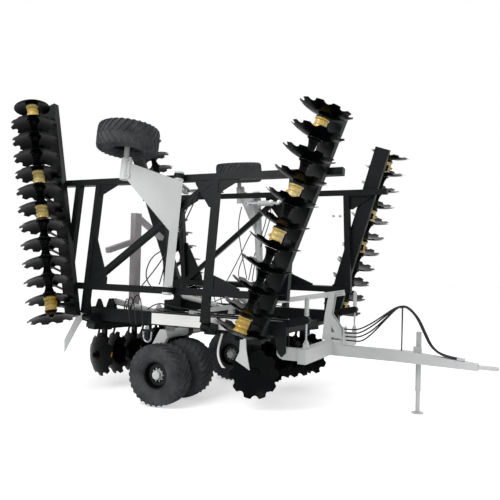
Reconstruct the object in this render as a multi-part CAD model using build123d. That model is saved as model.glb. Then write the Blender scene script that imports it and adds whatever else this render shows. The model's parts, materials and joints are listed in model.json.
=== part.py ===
from build123d import *
import os
from math import cos, hypot, pi, radians, sin, tan

# A towed folding disc harrow, parked on its jack with both wings folded up.
# Lengths are millimetres. X runs forward to the hitch, Y to the machine's left, Z up from the ground.
# Places along X are written from the transport axle, and the finished pieces are moved back by
# middle_x, so that the origin lies on the ground below the middle of the whole machine.
middle_x = 807

# Discs and gangs
disc_radius = 356
disc_dish = 95
disc_thickness = 8
notch_count = 10
notch_depth = 42
notch_half_angle = 6.5
disc_spacing = 296
spool_radius = 45
end_disc_radius = 300
gang_z = 549
gang_to_frame = 578
shaft_overhang = 70

# Name: (first disc x, first disc y, angle from straight across, disc count, side that the dish faces,
# gaps between discs that hold a bearing, counted from the first disc,
# the beam's reach before the first disc and past the last one, first disc with a scraper)
gangs = {
    "front_wing": (1596, 1316, 18.3, 11, 1, (0, 4, 6, 9), (-45, 165), 0),
    "rear_wing": (-1603, 1391, -16.8, 13, -1, (0, 5, 7, 11), (20, 160), 1),
    "front_centre": (1064, 193, 18.3, 4, 1, (0, 2), (40, 165), 0),
    "rear_centre": (-1260, 265, -16.8, 4, -1, (0, 2), (165, 110), 0),
}

# Bearings, hangers and scrapers
bearing_radius = 95
bearing_length = 190
fit_clearance = 0.9
hanger_width = 100
hanger_thickness = 50
beam_width = 200
beam_depth = 100
beam_wall = 8
foot_plate = 20
scraper_width = 50
scraper_thickness = 10
scraper_gap = 12
scraper_bar = (50, 60)
scraper_tip_z = 230
scraper_top = 150

# Frame tubes
frame_z = gang_z + gang_to_frame
tube = 100
tube_wall = 8
brace_width = 90
brace_end = 200
beam_level = gang_to_frame - tube / 2 - beam_depth / 2
rail_y = 1120
rail_width = 120
rail_height = 200
rail_z = 1226
rail_rear_x = -1720
rail_front_x = 1870
inner_rail_y = 500
mast_x = -1640
mast_top_z = 2955
mast_width = 180
mast_depth = 110
mast_wall = 8
strut_width = 90

# Wings: laid out as they work, level with the centre frame, then folded about the hinge
hinge_y = 1394
hinge_z = 1200
fold_angle = 97.6
hinge_x = (-1471, 733, 1560)
hinge_pin_radius = 25
hinge_lug_width = 30
hinge_lug_radius = 62
inner_bar_y = 1870
outer_bar_y = 3564
inner_bar_x = (-1960, 1990)
outer_bar_x = (-2360, 2643)
cross_bar_x = (-1899, -1471, 733, 1940)
gusset_thickness = 20

# Corner gussets: (cross bar's number, side of it, which long bar, reach along the long bar,
# reach along the cross bar)
gussets = [
    (1, 1, "outer", 330, 170),
    (1, 1, "inner", 340, 740),
    (2, -1, "outer", 300, 400),
    (2, 1, "outer", 320, 180),
    (2, 1, "inner", 480, 200),
    (3, 1, "outer", 380, 240),
    (3, -1, "inner", 260, 140),
]
running_clearance = 4

# Transport wheels
wheel_radius = 455
wheel_width = 391
tyre_wall = 28
inner_wheel_y = 799
outer_wheel_y = 1461
rim_radius = 205
hub_radius = 90
axle_radius = 40
rockshaft_z = 990
rockshaft_radius = 70
wheel_clearance = 36.36
rockshaft_x = -((wheel_radius + rockshaft_radius + wheel_clearance) ** 2 - (rockshaft_z - wheel_radius) ** 2) ** 0.5
arm_y = 1130
arm_width = 80
arm_boss_radius = 75
arm_boss_width = 120
lift_angle = 45

# Wing support wheels
wing_pivot_x = 140
wing_pivot_drop = 130
wing_wheel_x = -479
wing_wheel_y = 4011
wing_wheel_drop = 627
wing_lift_angle = 24.5
wing_pivot_radius = 60
web_thickness = 32
web_foot_y = 2725
spindle_sleeve = 62

# Tongue
ear_x = 1813
ear_z = 899
ear_y = rail_y
ear_pin_radius = 30
tongue_beam_x = 2110
drawbar_z = 830
drawbar_width = 140
drawbar_top = drawbar_z + 80
tongue_top = ear_z + 75
tongue_arm_width = 80
hitch_x = 4434
hitch_z = 776
hitch_bore = 52
hitch_eye_radius = 60
hitch_thickness = 44
tower_pin = (2120, 1670)
tower_rear_x = 1990
tower_front_x = 2335
tower_waist = (2030, 2130, 1370)
tower_shoulder = (2300, 1150)
tower_head = (28, 62, 34)
tower_web = (2050, 2090, 1290)
tower_cheek_y = 52
tower_hole = (2165, 1130, 60)
tower_slot = (2140, 2300, 1005, 36)
link_lever_tip = (-400, 1240)
link_pin_radius = 20
link_nose = 190
link_hole_radius = 12
link_hole_step = 30
guide = (tongue_beam_x + 35, 1365)
guide_height = 110
guide_gap = 11
levelling_rod_radius = 15
rod_foot_rise = 45
rod_foot_pin = 14

# Hydraulics
barrel_radius = 50
rod_radius = 25
eye_radius = 38
lug_gap = 4
lug_thickness = 16
eye_width = 50
cylinder_pin_radius = 19
eye_seat = cylinder_pin_radius + 4
barrel_start = 90
fold_barrel_gap = 12
lift_barrel_length = 860
wing_barrel_length = 380
fold_cylinder_x = 800
fold_base = (150, 1450)
fold_bracket_y = (60, 300)
fold_reach = (420, -250)
lift_y = 985
lift_base = (-1310, 1440)
lift_lever = (20, 260)
wing_lift_y = 3420
wing_lift_base_x = 700
wing_lift_rise = 170
wing_lift_lever_x = -50

# Jack
jack_x = 3400
jack_y = 165
jack_pivot_z = 930
jack_tube_radius = 38
jack_foot_radius = 85
jack_pin_radius = 24
jack_plate = 12

# Hoses
hose_radius = 11
hose_stand_x = 3190
hose_rest_z = 1520
coupler_radius = 17

os.makedirs("parts", exist_ok=True)


def save(name, *pieces):
    """Write the pieces as one node, moved so that the origin is below the machine's middle."""
    solids = [solid for piece in pieces for solid in piece.solids()]
    export_step(Compound(children=[Pos(-middle_x, 0, 0) * solid for solid in solids]), f"parts/{name}.step")


def block(x, y, z):
    """A box between two corners, each axis given as (low, high)."""
    low, high = zip(x, y, z)
    size = [b - a for a, b in zip(low, high)]
    return Pos(*low) * Box(*size, align=(Align.MIN,) * 3)


def beam(start, end, width, height):
    """A rectangular bar from start to end, its height in the upright plane through it."""
    start, end = Vector(*start), Vector(*end)
    run = end - start
    upright = Vector(0, 0, 1) if hypot(run.X, run.Y) > 1 else Vector(1, 0, 0)
    across = upright.cross(run)
    return extrude(Plane(start, x_dir=across, z_dir=run) * Rectangle(width, height), run.length)


def capped_tube(length, width, height, wall):
    """A box section tube along X with closed ends, centred on the origin."""
    return Box(length, width, height) - Box(length - 2 * wall, width - 2 * wall, height - 2 * wall)


def rod(start, end, radius):
    """A round bar from start to end."""
    start, end = Vector(*start), Vector(*end)
    return extrude(Plane(start, z_dir=end - start) * Circle(radius), (end - start).length)


def plate_y(points, y, thickness):
    """A flat plate parallel to the XZ plane, centred on y."""
    face = make_face(Polyline(*[(x, 0, z) for x, z in points], close=True))
    return extrude(Pos(0, y, 0) * face, thickness / 2, dir=(0, 1, 0), both=True)


def plate_x(points, x, thickness):
    """A flat plate parallel to the YZ plane, centred on x."""
    face = make_face(Polyline(*[(0, y, z) for y, z in points], close=True))
    return extrude(Pos(x, 0, 0) * face, thickness / 2, dir=(1, 0, 0), both=True)


def both_sides(*pieces):
    """The pieces with their mirror images on the machine's right."""
    return [*pieces, *[mirror(piece, about=Plane.XZ) for piece in pieces]]


def fold(piece, side):
    """A wing piece turned from its working place to its folded place, on side 1 (left) or -1."""
    folded = piece.rotate(Axis((0, hinge_y, hinge_z), (1, 0, 0)), fold_angle)
    return folded if side > 0 else mirror(folded, about=Plane.XZ)


def on_side(piece, side):
    return piece if side > 0 else mirror(piece, about=Plane.XZ)


# Gangs

def gang_direction(gang):
    angle = radians(gangs[gang][2])
    return Vector(sin(angle), cos(angle), 0)


def gang_point(gang, along, drop=0):
    """A place along a gang's axis, counted from its first disc."""
    x, y = gangs[gang][:2]
    return Vector(x, y, gang_z - drop) + gang_direction(gang) * along


def ring(radius, count, along, turn=0):
    step = 360 / count
    return [(radius * cos(radians(i * step + turn)), radius * sin(radians(i * step + turn)), along)
            for i in range(count)]


def polygon(*points):
    return Face(Wire.make_polygon([Vector(*p) for p in points], close=True))


def disc_outline(radius, along, dish, notched):
    """Rim points of one disc face: for each petal a notch root on its crease and two tooth corners."""
    step = 360 / notch_count
    half = notch_half_angle if notched else 0
    edge = radius * cos(radians(step / 2 - half)) / cos(radians(step / 2))
    slope = dish / (edge - spool_radius)
    root = edge - notch_depth if notched else edge
    rows = []
    for i in range(notch_count):
        crease, after = radians(i * step), radians((i + 1) * step)
        flat = edge * cos(radians(step / 2))
        middle = radians((i + 0.5) * step)
        swing = radians(step / 2 - half)
        corners = [(flat / cos(swing) * cos(middle + s), flat / cos(swing) * sin(middle + s), along + dish)
                   for s in (-swing, swing)]
        foot = (root * cos(crease), root * sin(crease), along + slope * (root - spool_radius))
        far_foot = (root * cos(after), root * sin(after), along + slope * (root - spool_radius))
        rows.append((foot, *corners, far_foot))
    return rows


def rotor_faces(count, dish, end_radius):
    """All faces of one gang's discs on their spool, as one closed skin about the Z axis."""
    faces = []
    step_ring = ring(spool_radius, notch_count, 0)

    def tube_between(low, high):
        for i in range(notch_count):
            (ax, ay, _), (bx, by, _) = step_ring[i], step_ring[(i + 1) % notch_count]
            faces.append(polygon((ax, ay, low), (bx, by, low), (bx, by, high), (ax, ay, high)))

    low_end = -shaft_overhang
    faces.append(polygon(*[(x, y, low_end) for x, y, _ in step_ring]))
    below = low_end
    for number in range(count):
        centre = number * disc_spacing
        last = number == count - 1 and end_radius
        radius = end_radius if last else disc_radius
        back, front = centre - disc_thickness / 2, centre + disc_thickness / 2
        tube_between(below, back)
        lower, upper = (disc_outline(radius, z, dish * radius / disc_radius, not last) for z in (back, front))
        for i in range(notch_count):
            (ax, ay, _), (bx, by, _) = step_ring[i], step_ring[(i + 1) % notch_count]
            for rim, z in ((lower[i], back), (upper[i], front)):
                points = [(ax, ay, z), (bx, by, z), rim[3], rim[2], rim[1], rim[0]]
                if last:
                    points = [(ax, ay, z), (bx, by, z), rim[3], rim[0]]
                faces.append(polygon(*points))
            edges = ((0, 3),) if last else ((0, 1), (1, 2), (2, 3))
            for a, b in edges:
                faces.append(polygon(lower[i][a], lower[i][b], upper[i][b], upper[i][a]))
        below = front
    high_end = (count - 1) * disc_spacing + shaft_overhang + max(dish, 0)
    tube_between(below, high_end)
    faces.append(polygon(*[(x, y, high_end) for x, y, _ in step_ring]))
    return faces


def rotor(gang, end_radius=None):
    """The discs and spool of one gang, at its working place."""
    count, side = gangs[gang][3:5]
    solid = Solid(Shell(rotor_faces(count, disc_dish * side, end_radius)))
    place = Plane(gang_point(gang, 0), x_dir=(0, 0, 1), z_dir=gang_direction(gang))
    return place.location * solid


def gang_frame(gang, along, rise=0):
    """A plane on the gang's line, its X along the gang and its Z up."""
    return Plane(gang_point(gang, along) + Vector(0, 0, rise), x_dir=gang_direction(gang), z_dir=(0, 0, 1))


def bearing_places(gang):
    return [(gap + 0.5) * disc_spacing for gap in gangs[gang][5]]


def gang_beam(gang):
    """The tube above a gang, seated on the underside of the frame."""
    before, after = gangs[gang][6]
    length = before + after + (gangs[gang][3] - 1) * disc_spacing
    return [gang_frame(gang, length / 2 - before, beam_level) * capped_tube(length, beam_width, beam_depth, beam_wall)]


def bearings(gang):
    housing = Cylinder(bearing_radius, bearing_length, rotation=(0, 90, 0))
    housing -= Cylinder(spool_radius + fit_clearance, bearing_length * 2, rotation=(0, 90, 0))
    return [gang_frame(gang, along) * housing for along in bearing_places(gang)]


def hangers(gang):
    """An arm from the beam's underside to each bearing, on a foot plate."""
    top = beam_level - beam_depth / 2
    arm = Pos(0, 0, (top + bearing_radius) / 2) * Box(
        hanger_thickness, hanger_width, top - bearing_radius)
    foot = Pos(0, 0, top - foot_plate / 2) * Box(hanger_thickness * 3, beam_width, foot_plate)
    seat = Pos(0, 0, bearing_radius) * Box(hanger_thickness * 2, hanger_width * 1.4, 24, align=(
        Align.CENTER, Align.CENTER, Align.MIN))
    cradle = arm + foot + seat
    return [gang_frame(gang, along) * cradle for along in bearing_places(gang)]


def scrapers(gang):
    """A bar on the rear of the gang beam, with a slanting blade into each disc's hollow side."""
    count, side = gangs[gang][3:5]
    (before, after), first = gangs[gang][6:]
    thick, high = scraper_bar
    aside = beam_width / 2 + thick / 2
    low, last = -before, (count - 1) * disc_spacing + after
    bar = Pos((low + last) / 2, aside, beam_level) * Box(last - low, thick, high)
    tip_radius = hypot(aside, scraper_tip_z)
    hollow = disc_dish * (tip_radius - spool_radius) / (disc_radius - spool_radius)
    tip = side * (hollow + disc_thickness / 2 + scraper_thickness / 2 + scraper_gap)
    for number in range(first, count):
        along = number * disc_spacing
        bar += beam((along + side * scraper_top, aside, beam_level), (along + tip, aside, scraper_tip_z),
                    scraper_width, scraper_thickness)
    return [gang_frame(gang, 0) * bar]


# Centre frame

def hinge_lugs(x):
    """Two cheeks on a centre cross bar's end, with the pin that carries a wing arm."""
    inner_gap = tube / 2 + running_clearance
    cheeks = None
    for side in (-1, 1):
        at = x + side * (inner_gap + hinge_lug_width / 2)
        outline = [(hinge_y - 190, frame_z - tube / 2), (hinge_y + 30, frame_z - tube / 2 + 60),
                   (hinge_y + hinge_lug_radius - 15, hinge_z), (hinge_y, hinge_z + hinge_lug_radius),
                   (hinge_y - 190, hinge_z + 20)]
        cheek = plate_x(outline, at, hinge_lug_width)
        cheeks = cheek if cheeks is None else cheeks + cheek
    reach = inner_gap + hinge_lug_width
    pin = rod((x - reach, hinge_y, hinge_z), (x + reach, hinge_y, hinge_z), hinge_pin_radius)
    block_in = block((x - reach, x + reach), (hinge_y - 190, hinge_y - 75), (frame_z - tube / 2, frame_z + tube / 2))
    return cheeks + pin + block_in


def main_frame():
    """The level grid of inner rails and cross bars, with the wing hinges and the rockshaft's bearings."""
    half = tube / 2
    cross_z = (frame_z - half, frame_z + half)
    parts = [block((hinge_x[0] - half, hinge_x[2] + half), (inner_rail_y - half, inner_rail_y + half), cross_z)]
    parts += [block((x - half, x + half), (0, hinge_y - 80), cross_z) for x in hinge_x]
    parts += [hinge_lugs(x) for x in hinge_x]
    parts.append(block((mast_x - half, mast_x + half), (0, rail_y), cross_z))
    bracket_end = fold_cylinder_x + eye_width / 2 + 23
    parts.append(block((hinge_x[1] - half, bracket_end), fold_bracket_y, cross_z))
    # Rockshaft bearings under the inner rails
    bearing = rod((rockshaft_x, inner_rail_y - 45, rockshaft_z), (rockshaft_x, inner_rail_y + 45, rockshaft_z),
                  rockshaft_radius + 26)
    bearing += block((rockshaft_x - 70, rockshaft_x + 70), (inner_rail_y - 45, inner_rail_y + 45),
                     (rockshaft_z, frame_z - half))
    bearing -= rod((rockshaft_x, 0, rockshaft_z), (rockshaft_x, 1000, rockshaft_z), rockshaft_radius + fit_clearance)
    right = [mirror(p, about=Plane.XZ) for p in parts + [bearing]]
    whole = parts[0]
    for p in parts[1:] + [bearing] + right:
        whole += p
    return whole


def tube_room(x, y):
    """The room inside a level frame tube, between its end caps."""
    room = tube / 2 - tube_wall
    return block(x, y, (frame_z - room, frame_z + room))


def main_frame_rooms():
    """The rooms inside the grid's tubes, clear of each other."""
    wall, half = tube_wall, tube / 2
    room = half - wall
    rooms = []
    for side in (-1, 1):
        y = side * inner_rail_y
        rooms.append(tube_room((hinge_x[0] - room, hinge_x[2] + room), (y - room, y + room)))
        near, far = sorted((side * (inner_rail_y + half + wall), side * (hinge_y - 200)))
        rooms += [tube_room((x - room, x + room), (near, far)) for x in hinge_x]
    inside = inner_rail_y - half - wall
    rooms += [tube_room((x - room, x + room), (-inside, inside)) for x in hinge_x]
    return rooms + [tube_room((mast_x - room, mast_x + room), (-rail_y + wall, rail_y - wall))]


def centre_rails(grid):
    """The deep outer rails over the grid, with the tongue's ears, rod guides and lift cylinder lugs."""
    parts = [block((rail_rear_x, rail_front_x), (rail_y - rail_width / 2, rail_y + rail_width / 2),
                   (rail_z - rail_height / 2, rail_z + rail_height / 2))]
    # Ears for the tongue below the rails' front ends
    ear_gap = 46
    for side in (-1, 1):
        y = ear_y + side * (ear_gap + 12)
        outline = [(ear_x - 120, rail_z - rail_height / 2), (ear_x + 57, rail_z - rail_height / 2),
                   (ear_x + 60, ear_z), (ear_x, ear_z - 62), (ear_x - 60, ear_z)]
        parts.append(plate_y(outline, y, 24))
    pin = rod((ear_x, ear_y - 70, ear_z), (ear_x, ear_y + 70, ear_z), ear_pin_radius)
    parts.append(pin)
    # Guides for the levelling rods
    guide_x, guide_z = guide
    parts.append(beam((rail_front_x - 60, rail_y, rail_z + 60), (guide_x, rail_y, guide_z), 30, guide_height)
                 + rod((guide_x, rail_y - 40, guide_z), (guide_x, rail_y + 40, guide_z), 52)
                 - rod((guide_x, rail_y, guide_z - guide_height), (guide_x, rail_y, guide_z + guide_height),
                       levelling_rod_radius + guide_gap))
    # Base lugs of the lift cylinders, inside the rails
    base_x, base_z = lift_base
    for side in (-1, 1):
        y = lift_y + side * (eye_width / 2 + 3 + 8)
        outline = [(base_x - 150, frame_z), (base_x + 60, frame_z), (base_x + 45, base_z + 35),
                   (base_x - 45, base_z + 35)]
        parts.append(plate_y(outline, y, 16))
    reach = eye_width / 2 + 19
    parts.append(rod((base_x, lift_y - reach, base_z), (base_x, lift_y + reach, base_z), cylinder_pin_radius))
    parts.append(block((base_x - 150, base_x + 60), (lift_y - reach, rail_y), (rail_z - 100, rail_z - 60)))
    rail = parts[0]
    for part in parts[1:]:
        rail += part
    return both_sides(rail - grid)


def fold_bracket():
    """Base lugs and pin of a fold cylinder, on the middle cross bar."""
    base_y, base_z = fold_base
    near, far = fold_bracket_y
    reach = eye_width / 2 + 23
    bracket = rod((fold_cylinder_x - reach, base_y, base_z), (fold_cylinder_x + reach, base_y, base_z), cylinder_pin_radius)
    outline = [(near, frame_z + tube / 2), (far, frame_z + tube / 2), (base_y + 45, base_z + 30),
               (base_y - 45, base_z + 30)]
    for side in (-1, 1):
        bracket += plate_x(outline, fold_cylinder_x + side * (eye_width / 2 + 3 + 10), 20)
    return bracket


def rear_mast():
    """The upright tube behind the rockshaft, and a strut on each of its sides."""
    foot = frame_z + tube / 2
    post = Pos(mast_x, 0, (foot + mast_top_z) / 2) * Rot(0, 90, 0) * capped_tube(
        mast_top_z - foot, mast_width, mast_depth, mast_wall)
    pieces = [post]
    for side, drop, reach, low in ((1, 90, 800, 420), (-1, 520, 760, 690)):
        start, end = Vector(mast_x, side * mast_width / 2, mast_top_z - drop), Vector(mast_x, side * reach, mast_top_z - low)
        start -= (end - start).normalized() * strut_width / 2
        run = end - start
        plane = Plane((start + end) * 0.5, x_dir=run, z_dir=(1, 0, 0))
        strut = plane * capped_tube(run.length, strut_width, strut_width, mast_wall)
        pieces.append(strut - block((mast_x - 200, mast_x + 200), (-mast_width / 2, mast_width / 2), (foot, mast_top_z + 50)))
    return pieces


# Wings

def gusset(number, aside, bar, along, across):
    """A cornered plate between a cross bar and a long bar, near the frame's lower face."""
    x = cross_bar_x[number] + aside * tube / 2
    inward = 1 if bar == "inner" else -1
    y = (inner_bar_y if bar == "inner" else outer_bar_y) + inward * tube / 2
    snub = 0.12
    outline = [(x, y), (x + aside * along, y), (x + aside * along, y + inward * across * snub),
               (x + aside * along * snub, y + inward * across), (x, y + inward * across)]
    face = make_face(Polyline(*outline, close=True))
    return extrude(Pos(0, 0, frame_z - tube / 2 + gusset_thickness) * face, gusset_thickness / 2, dir=(0, 0, 1), both=True)


def wing_frame(side):
    half = tube / 2
    level = (frame_z - half, frame_z + half)
    parts = [block(inner_bar_x, (inner_bar_y - half, inner_bar_y + half), level),
             block(outer_bar_x, (outer_bar_y - half, outer_bar_y + half), level)]
    parts += [block((x - half, x + half), (inner_bar_y, outer_bar_y), level) for x in cross_bar_x]
    for x in hinge_x:
        arm = block((x - half, x + half), (hinge_y + 50, inner_bar_y), level)
        eye = rod((x - half, hinge_y, hinge_z), (x + half, hinge_y, hinge_z), hinge_lug_radius - 8)
        neck = plate_x([(hinge_y - 20, hinge_z + 46), (hinge_y + 260, frame_z + half),
                        (hinge_y + 60, frame_z - half), (hinge_y + 30, hinge_z - 40)], x, tube)
        bore = rod((x - tube, hinge_y, hinge_z), (x + tube, hinge_y, hinge_z), hinge_pin_radius + fit_clearance)
        parts.append(arm + eye + neck - bore)
    # Diagonal brace and the gussets
    brace = Vector(cross_bar_x[1], inner_bar_y, frame_z), Vector(cross_bar_x[2], outer_bar_y, frame_z)
    parts.append(beam(*brace, brace_width, brace_width))
    parts += [gusset(*row) for row in gussets]
    # Bearings of the wheel arm below the bars
    pivot_z = frame_z - wing_pivot_drop
    for y in (inner_bar_y, outer_bar_y):
        seat = block((wing_pivot_x - 78, wing_pivot_x + 78), (y - 35, y + 35), (pivot_z - 20, frame_z - half))
        seat += rod((wing_pivot_x, y - 35, pivot_z), (wing_pivot_x, y + 35, pivot_z), 78)
        parts.append(seat - rod((wing_pivot_x, y - 80, pivot_z), (wing_pivot_x, y + 80, pivot_z), wing_pivot_radius + fit_clearance))
    # Base lugs of the lift cylinder on the cross bar
    base_z = frame_z + wing_lift_rise
    for end in (-1, 1):
        y = wing_lift_y + end * (eye_width / 2 + 3 + 8)
        outline = [(cross_bar_x[2] - 50, frame_z + half - 10), (cross_bar_x[2] + 50, frame_z + half - 10),
                   (wing_lift_base_x + 35, base_z + 30), (wing_lift_base_x - 35, base_z + 30)]
        parts.append(plate_y(outline, y, 16))
    reach = eye_width / 2 + 19
    parts.append(rod((wing_lift_base_x, wing_lift_y - reach, base_z), (wing_lift_base_x, wing_lift_y + reach, base_z), cylinder_pin_radius))
    # Fork for the fold cylinder's rod eye
    fork_y, fork_z = fold_end(0)
    for end in (-1, 1):
        x = fold_cylinder_x + end * (eye_width / 2 + 5 + 10)
        outline = [(inner_bar_y - 40, frame_z + half - 10), (inner_bar_y + 240, frame_z + half - 10),
                   (fork_y + 45, fork_z + 35), (fork_y - 45, fork_z + 35), (fork_y - 60, fork_z - 40)]
        parts.append(plate_x(outline, x, 20))
    parts.append(block((cross_bar_x[2], fold_cylinder_x + eye_width / 2 + 25), (inner_bar_y, inner_bar_y + 240), level))
    whole = parts[0]
    for p in parts[1:]:
        whole += p
    # The tubes are hollow between their caps and each other's walls
    room = half - tube_wall
    for y, (rear, front) in ((inner_bar_y, inner_bar_x), (outer_bar_y, outer_bar_x)):
        whole -= tube_room((rear + tube_wall, front - tube_wall), (y - room, y + room))
    for x in cross_bar_x:
        whole -= tube_room((x - room, x + room), (inner_bar_y + half + tube_wall, outer_bar_y - half - tube_wall))
    way = (brace[1] - brace[0]).normalized() * brace_end
    whole -= beam(brace[0] + way, brace[1] - way, brace_width - 2 * tube_wall, brace_width - 2 * tube_wall)
    return fold(whole, side)


def fold_end(angle):
    """Where a fold cylinder's rod eye sits: (y, z) with the wing raised by angle from its working place."""
    y0 = hinge_y + fold_reach[0] + 223
    z0 = frame_z - fold_reach[1]
    dy, dz = y0 - hinge_y, z0 - hinge_z
    a = radians(angle)
    return hinge_y + dy * cos(a) - dz * sin(a), hinge_z + dy * sin(a) + dz * cos(a)


def turned(point, centre, angle):
    """A point (across, up) turned about a centre, from the first axis towards the second."""
    a = radians(angle)
    dx, dz = point[0] - centre[0], point[1] - centre[1]
    return centre[0] + dx * cos(a) - dz * sin(a), centre[1] + dx * sin(a) + dz * cos(a)


# Wheels

def tyre(x, y, z, width):
    """A tyre about a cross axis, its tread out to the full radius."""
    w, r, inner = width / 2, wheel_radius, rim_radius
    outline = [(-w * 0.62, inner), (-w, inner + 90), (-w, r - 75), (-w * 0.86, r - 12), (-w * 0.45, r),
               (w * 0.45, r), (w * 0.86, r - 12), (w, r - 75), (w, inner + 90), (w * 0.62, inner)]
    face = make_face(Polyline(*[(0, a, b) for a, b in outline], close=True))
    face -= make_face(Polyline(*[(0, a, b) for a, b in (
        (-w + tyre_wall, inner + 90), (-w + tyre_wall, r - 90), (-w * 0.7, r - tyre_wall * 1.6),
        (w * 0.7, r - tyre_wall * 1.6), (w - tyre_wall, r - 90), (w - tyre_wall, inner + 90),
        (w * 0.6, inner + tyre_wall), (-w * 0.6, inner + tyre_wall))], close=True))
    return Pos(x, y, z) * revolve(face, Axis.Y)


def rim(x, y, z, width, face_side):
    """A pressed wheel: barrel under the tyre, dished web and hub."""
    w, r = width / 2 * 0.6, rim_radius - 1
    outline = [(-w, r), (-w, r - 22), (w * 0.2, r - 40), (w * 0.2, hub_radius + 20), (-w * 0.1, hub_radius),
               (-w * 0.1, 0), (w * 0.9, 0), (w * 0.9, hub_radius - 12), (w * 0.45, hub_radius),
               (w * 0.45, r - 40), (w, r - 22), (w, r)]
    face = make_face(Polyline(*[(0, a * face_side, b) for a, b in outline], close=True))
    return Pos(x, y, z) * revolve(face, Axis.Y)


def wing_rim():
    """A wing wheel, bored for its spindle."""
    wheel_z = frame_z - wing_wheel_drop
    whole = rim(wing_wheel_x, wing_wheel_y, wheel_z, wheel_width, 1)
    return whole - rod((wing_wheel_x, wing_wheel_y - 200, wheel_z), (wing_wheel_x, wing_wheel_y + 60, wheel_z),
                       axle_radius + fit_clearance)


def twin_rims():
    """Both wheels of a pair on the axle that turns in the arm's boss."""
    whole = rod((0, inner_wheel_y, wheel_radius), (0, outer_wheel_y, wheel_radius), axle_radius)
    whole += rim(0, inner_wheel_y, wheel_radius, wheel_width, -1)
    return whole + rim(0, outer_wheel_y, wheel_radius, wheel_width, 1)


def rockshaft():
    """The cross tube with an arm to each wheel pair, and its levers."""
    across = arm_y + arm_width / 2
    whole = rod((rockshaft_x, -across, rockshaft_z), (rockshaft_x, across, rockshaft_z), rockshaft_radius)
    lever_x, lever_z = lift_lever_tip(0)
    for side in (-1, 1):
        y = side * arm_y
        outline = [(rockshaft_x + 45, rockshaft_z + 75), (rockshaft_x - 60, rockshaft_z + 75),
                   (-390, 790), (-370, 690), (-40, wheel_radius - 70), (50, wheel_radius - 50),
                   (60, wheel_radius + 45), (-230, 740), (rockshaft_x + 75, rockshaft_z - 40)]
        whole += plate_y(outline, y, arm_width)
        whole += rod((0, y - arm_boss_width / 2, wheel_radius), (0, y + arm_boss_width / 2, wheel_radius),
                     arm_boss_radius)
        whole -= rod((0, y - arm_boss_width, wheel_radius), (0, y + arm_boss_width, wheel_radius),
                     axle_radius + fit_clearance)
        for cheek in (-1, 1):
            at = side * lift_y + cheek * (eye_width / 2 + lug_gap + lug_thickness / 2)
            outline = [(rockshaft_x - 70, rockshaft_z), (rockshaft_x + 70, rockshaft_z),
                       (lever_x + 40, lever_z + 20), (lever_x, lever_z + 42), (lever_x - 40, lever_z + 20)]
            whole += plate_y(outline, at, lug_thickness)
    tip_x, tip_z = link_lever_tip
    outline = [(rockshaft_x - 10, rockshaft_z + 68), (rockshaft_x - 60, rockshaft_z - 40),
               (tip_x - 42, tip_z), (tip_x, tip_z + 42), (tip_x + 40, tip_z + 15)]
    for cheek in (-1, 1):
        whole += plate_y(outline, cheek * (eye_width / 2 + lug_gap * 2 + lug_thickness / 2), lug_thickness)
    return whole


def lift_lever_tip(angle):
    """Where a lift cylinder's rod eye sits, with the wheels raised by angle."""
    start = (rockshaft_x + lift_lever[0], rockshaft_z + lift_lever[1])
    return turned(start, (rockshaft_x, rockshaft_z), angle)


def wing_lift_tip(angle):
    """Where a wing lift cylinder's rod eye sits in the working place, with the wheel raised by angle."""
    pivot = (wing_pivot_x, frame_z - wing_pivot_drop)
    start = (wing_pivot_x + wing_lift_lever_x, frame_z + wing_lift_rise)
    return turned(start, pivot, -angle)


def wing_wheel_arm(side):
    pivot_z = frame_z - wing_pivot_drop
    wheel_z = frame_z - wing_wheel_drop
    low_y, high_y = inner_bar_y - 70, outer_bar_y + 70
    shaft = rod((wing_pivot_x, low_y, pivot_z), (wing_pivot_x, high_y, pivot_z), wing_pivot_radius)
    spindle_y = wing_wheel_y - wheel_width / 2 - 60
    # Slanting web from the pivot tube to the spindle's inner end
    run = Vector(wing_wheel_x - wing_pivot_x, 0, wheel_z - pivot_z)
    length = run.length
    edge = wing_pivot_radius
    plane = Plane((wing_pivot_x, 0, pivot_z), x_dir=run, z_dir=(-run.Z, 0, run.X))
    plane = plane.offset(edge - web_thickness / 2)
    flip = 1 if plane.y_dir.Y > 0 else -1
    outline = [(-edge, inner_bar_y + 60), (-edge, outer_bar_y - 60), (edge, outer_bar_y - 60),
               (length - spindle_sleeve / 2, spindle_y - 95), (length - spindle_sleeve / 2, spindle_y - 335),
               (edge, web_foot_y), (edge, inner_bar_y + 60)]
    outline = [(along, flip * y) for along, y in outline]
    web = extrude(plane * make_face(Polyline(*outline, close=True)), web_thickness / 2, both=True)
    sleeve = rod((wing_wheel_x, spindle_y - 350, wheel_z), (wing_wheel_x, spindle_y - 30, wheel_z), spindle_sleeve)
    spindle = rod((wing_wheel_x, spindle_y - 30, wheel_z), (wing_wheel_x, wing_wheel_y + 40, wheel_z), axle_radius)
    whole = shaft + web + sleeve + spindle
    for y, outward in ((inner_bar_y, -1), (inner_bar_y, 1), (outer_bar_y, -1), (outer_bar_y, 1)):
        near, far = sorted((y + outward * 38, y + outward * 62))
        whole += rod((wing_pivot_x, near, pivot_z), (wing_pivot_x, far, pivot_z), wing_pivot_radius + 14)
    tip_x, tip_z = wing_lift_tip(0)
    for cheek in (-1, 1):
        at = wing_lift_y + cheek * (eye_width / 2 + 4 + 8)
        outline = [(wing_pivot_x - 60, pivot_z), (wing_pivot_x + 60, pivot_z), (tip_x + 40, tip_z + 20),
                   (tip_x, tip_z + 42), (tip_x - 40, tip_z + 20)]
        whole += plate_y(outline, at, 16)
    return fold(whole, side)


# Cylinders

def barrel(base, way, length):
    """A cylinder's barrel on a neck behind its base eye."""
    neck = rod(base + way * eye_seat, base + way * (barrel_start + 5), rod_radius)
    body = rod(base + way * barrel_start, base + way * length, barrel_radius)
    return neck + body - rod(base + way * (barrel_start + 4), base + way * (length + 10), rod_radius + fit_clearance)


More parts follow.
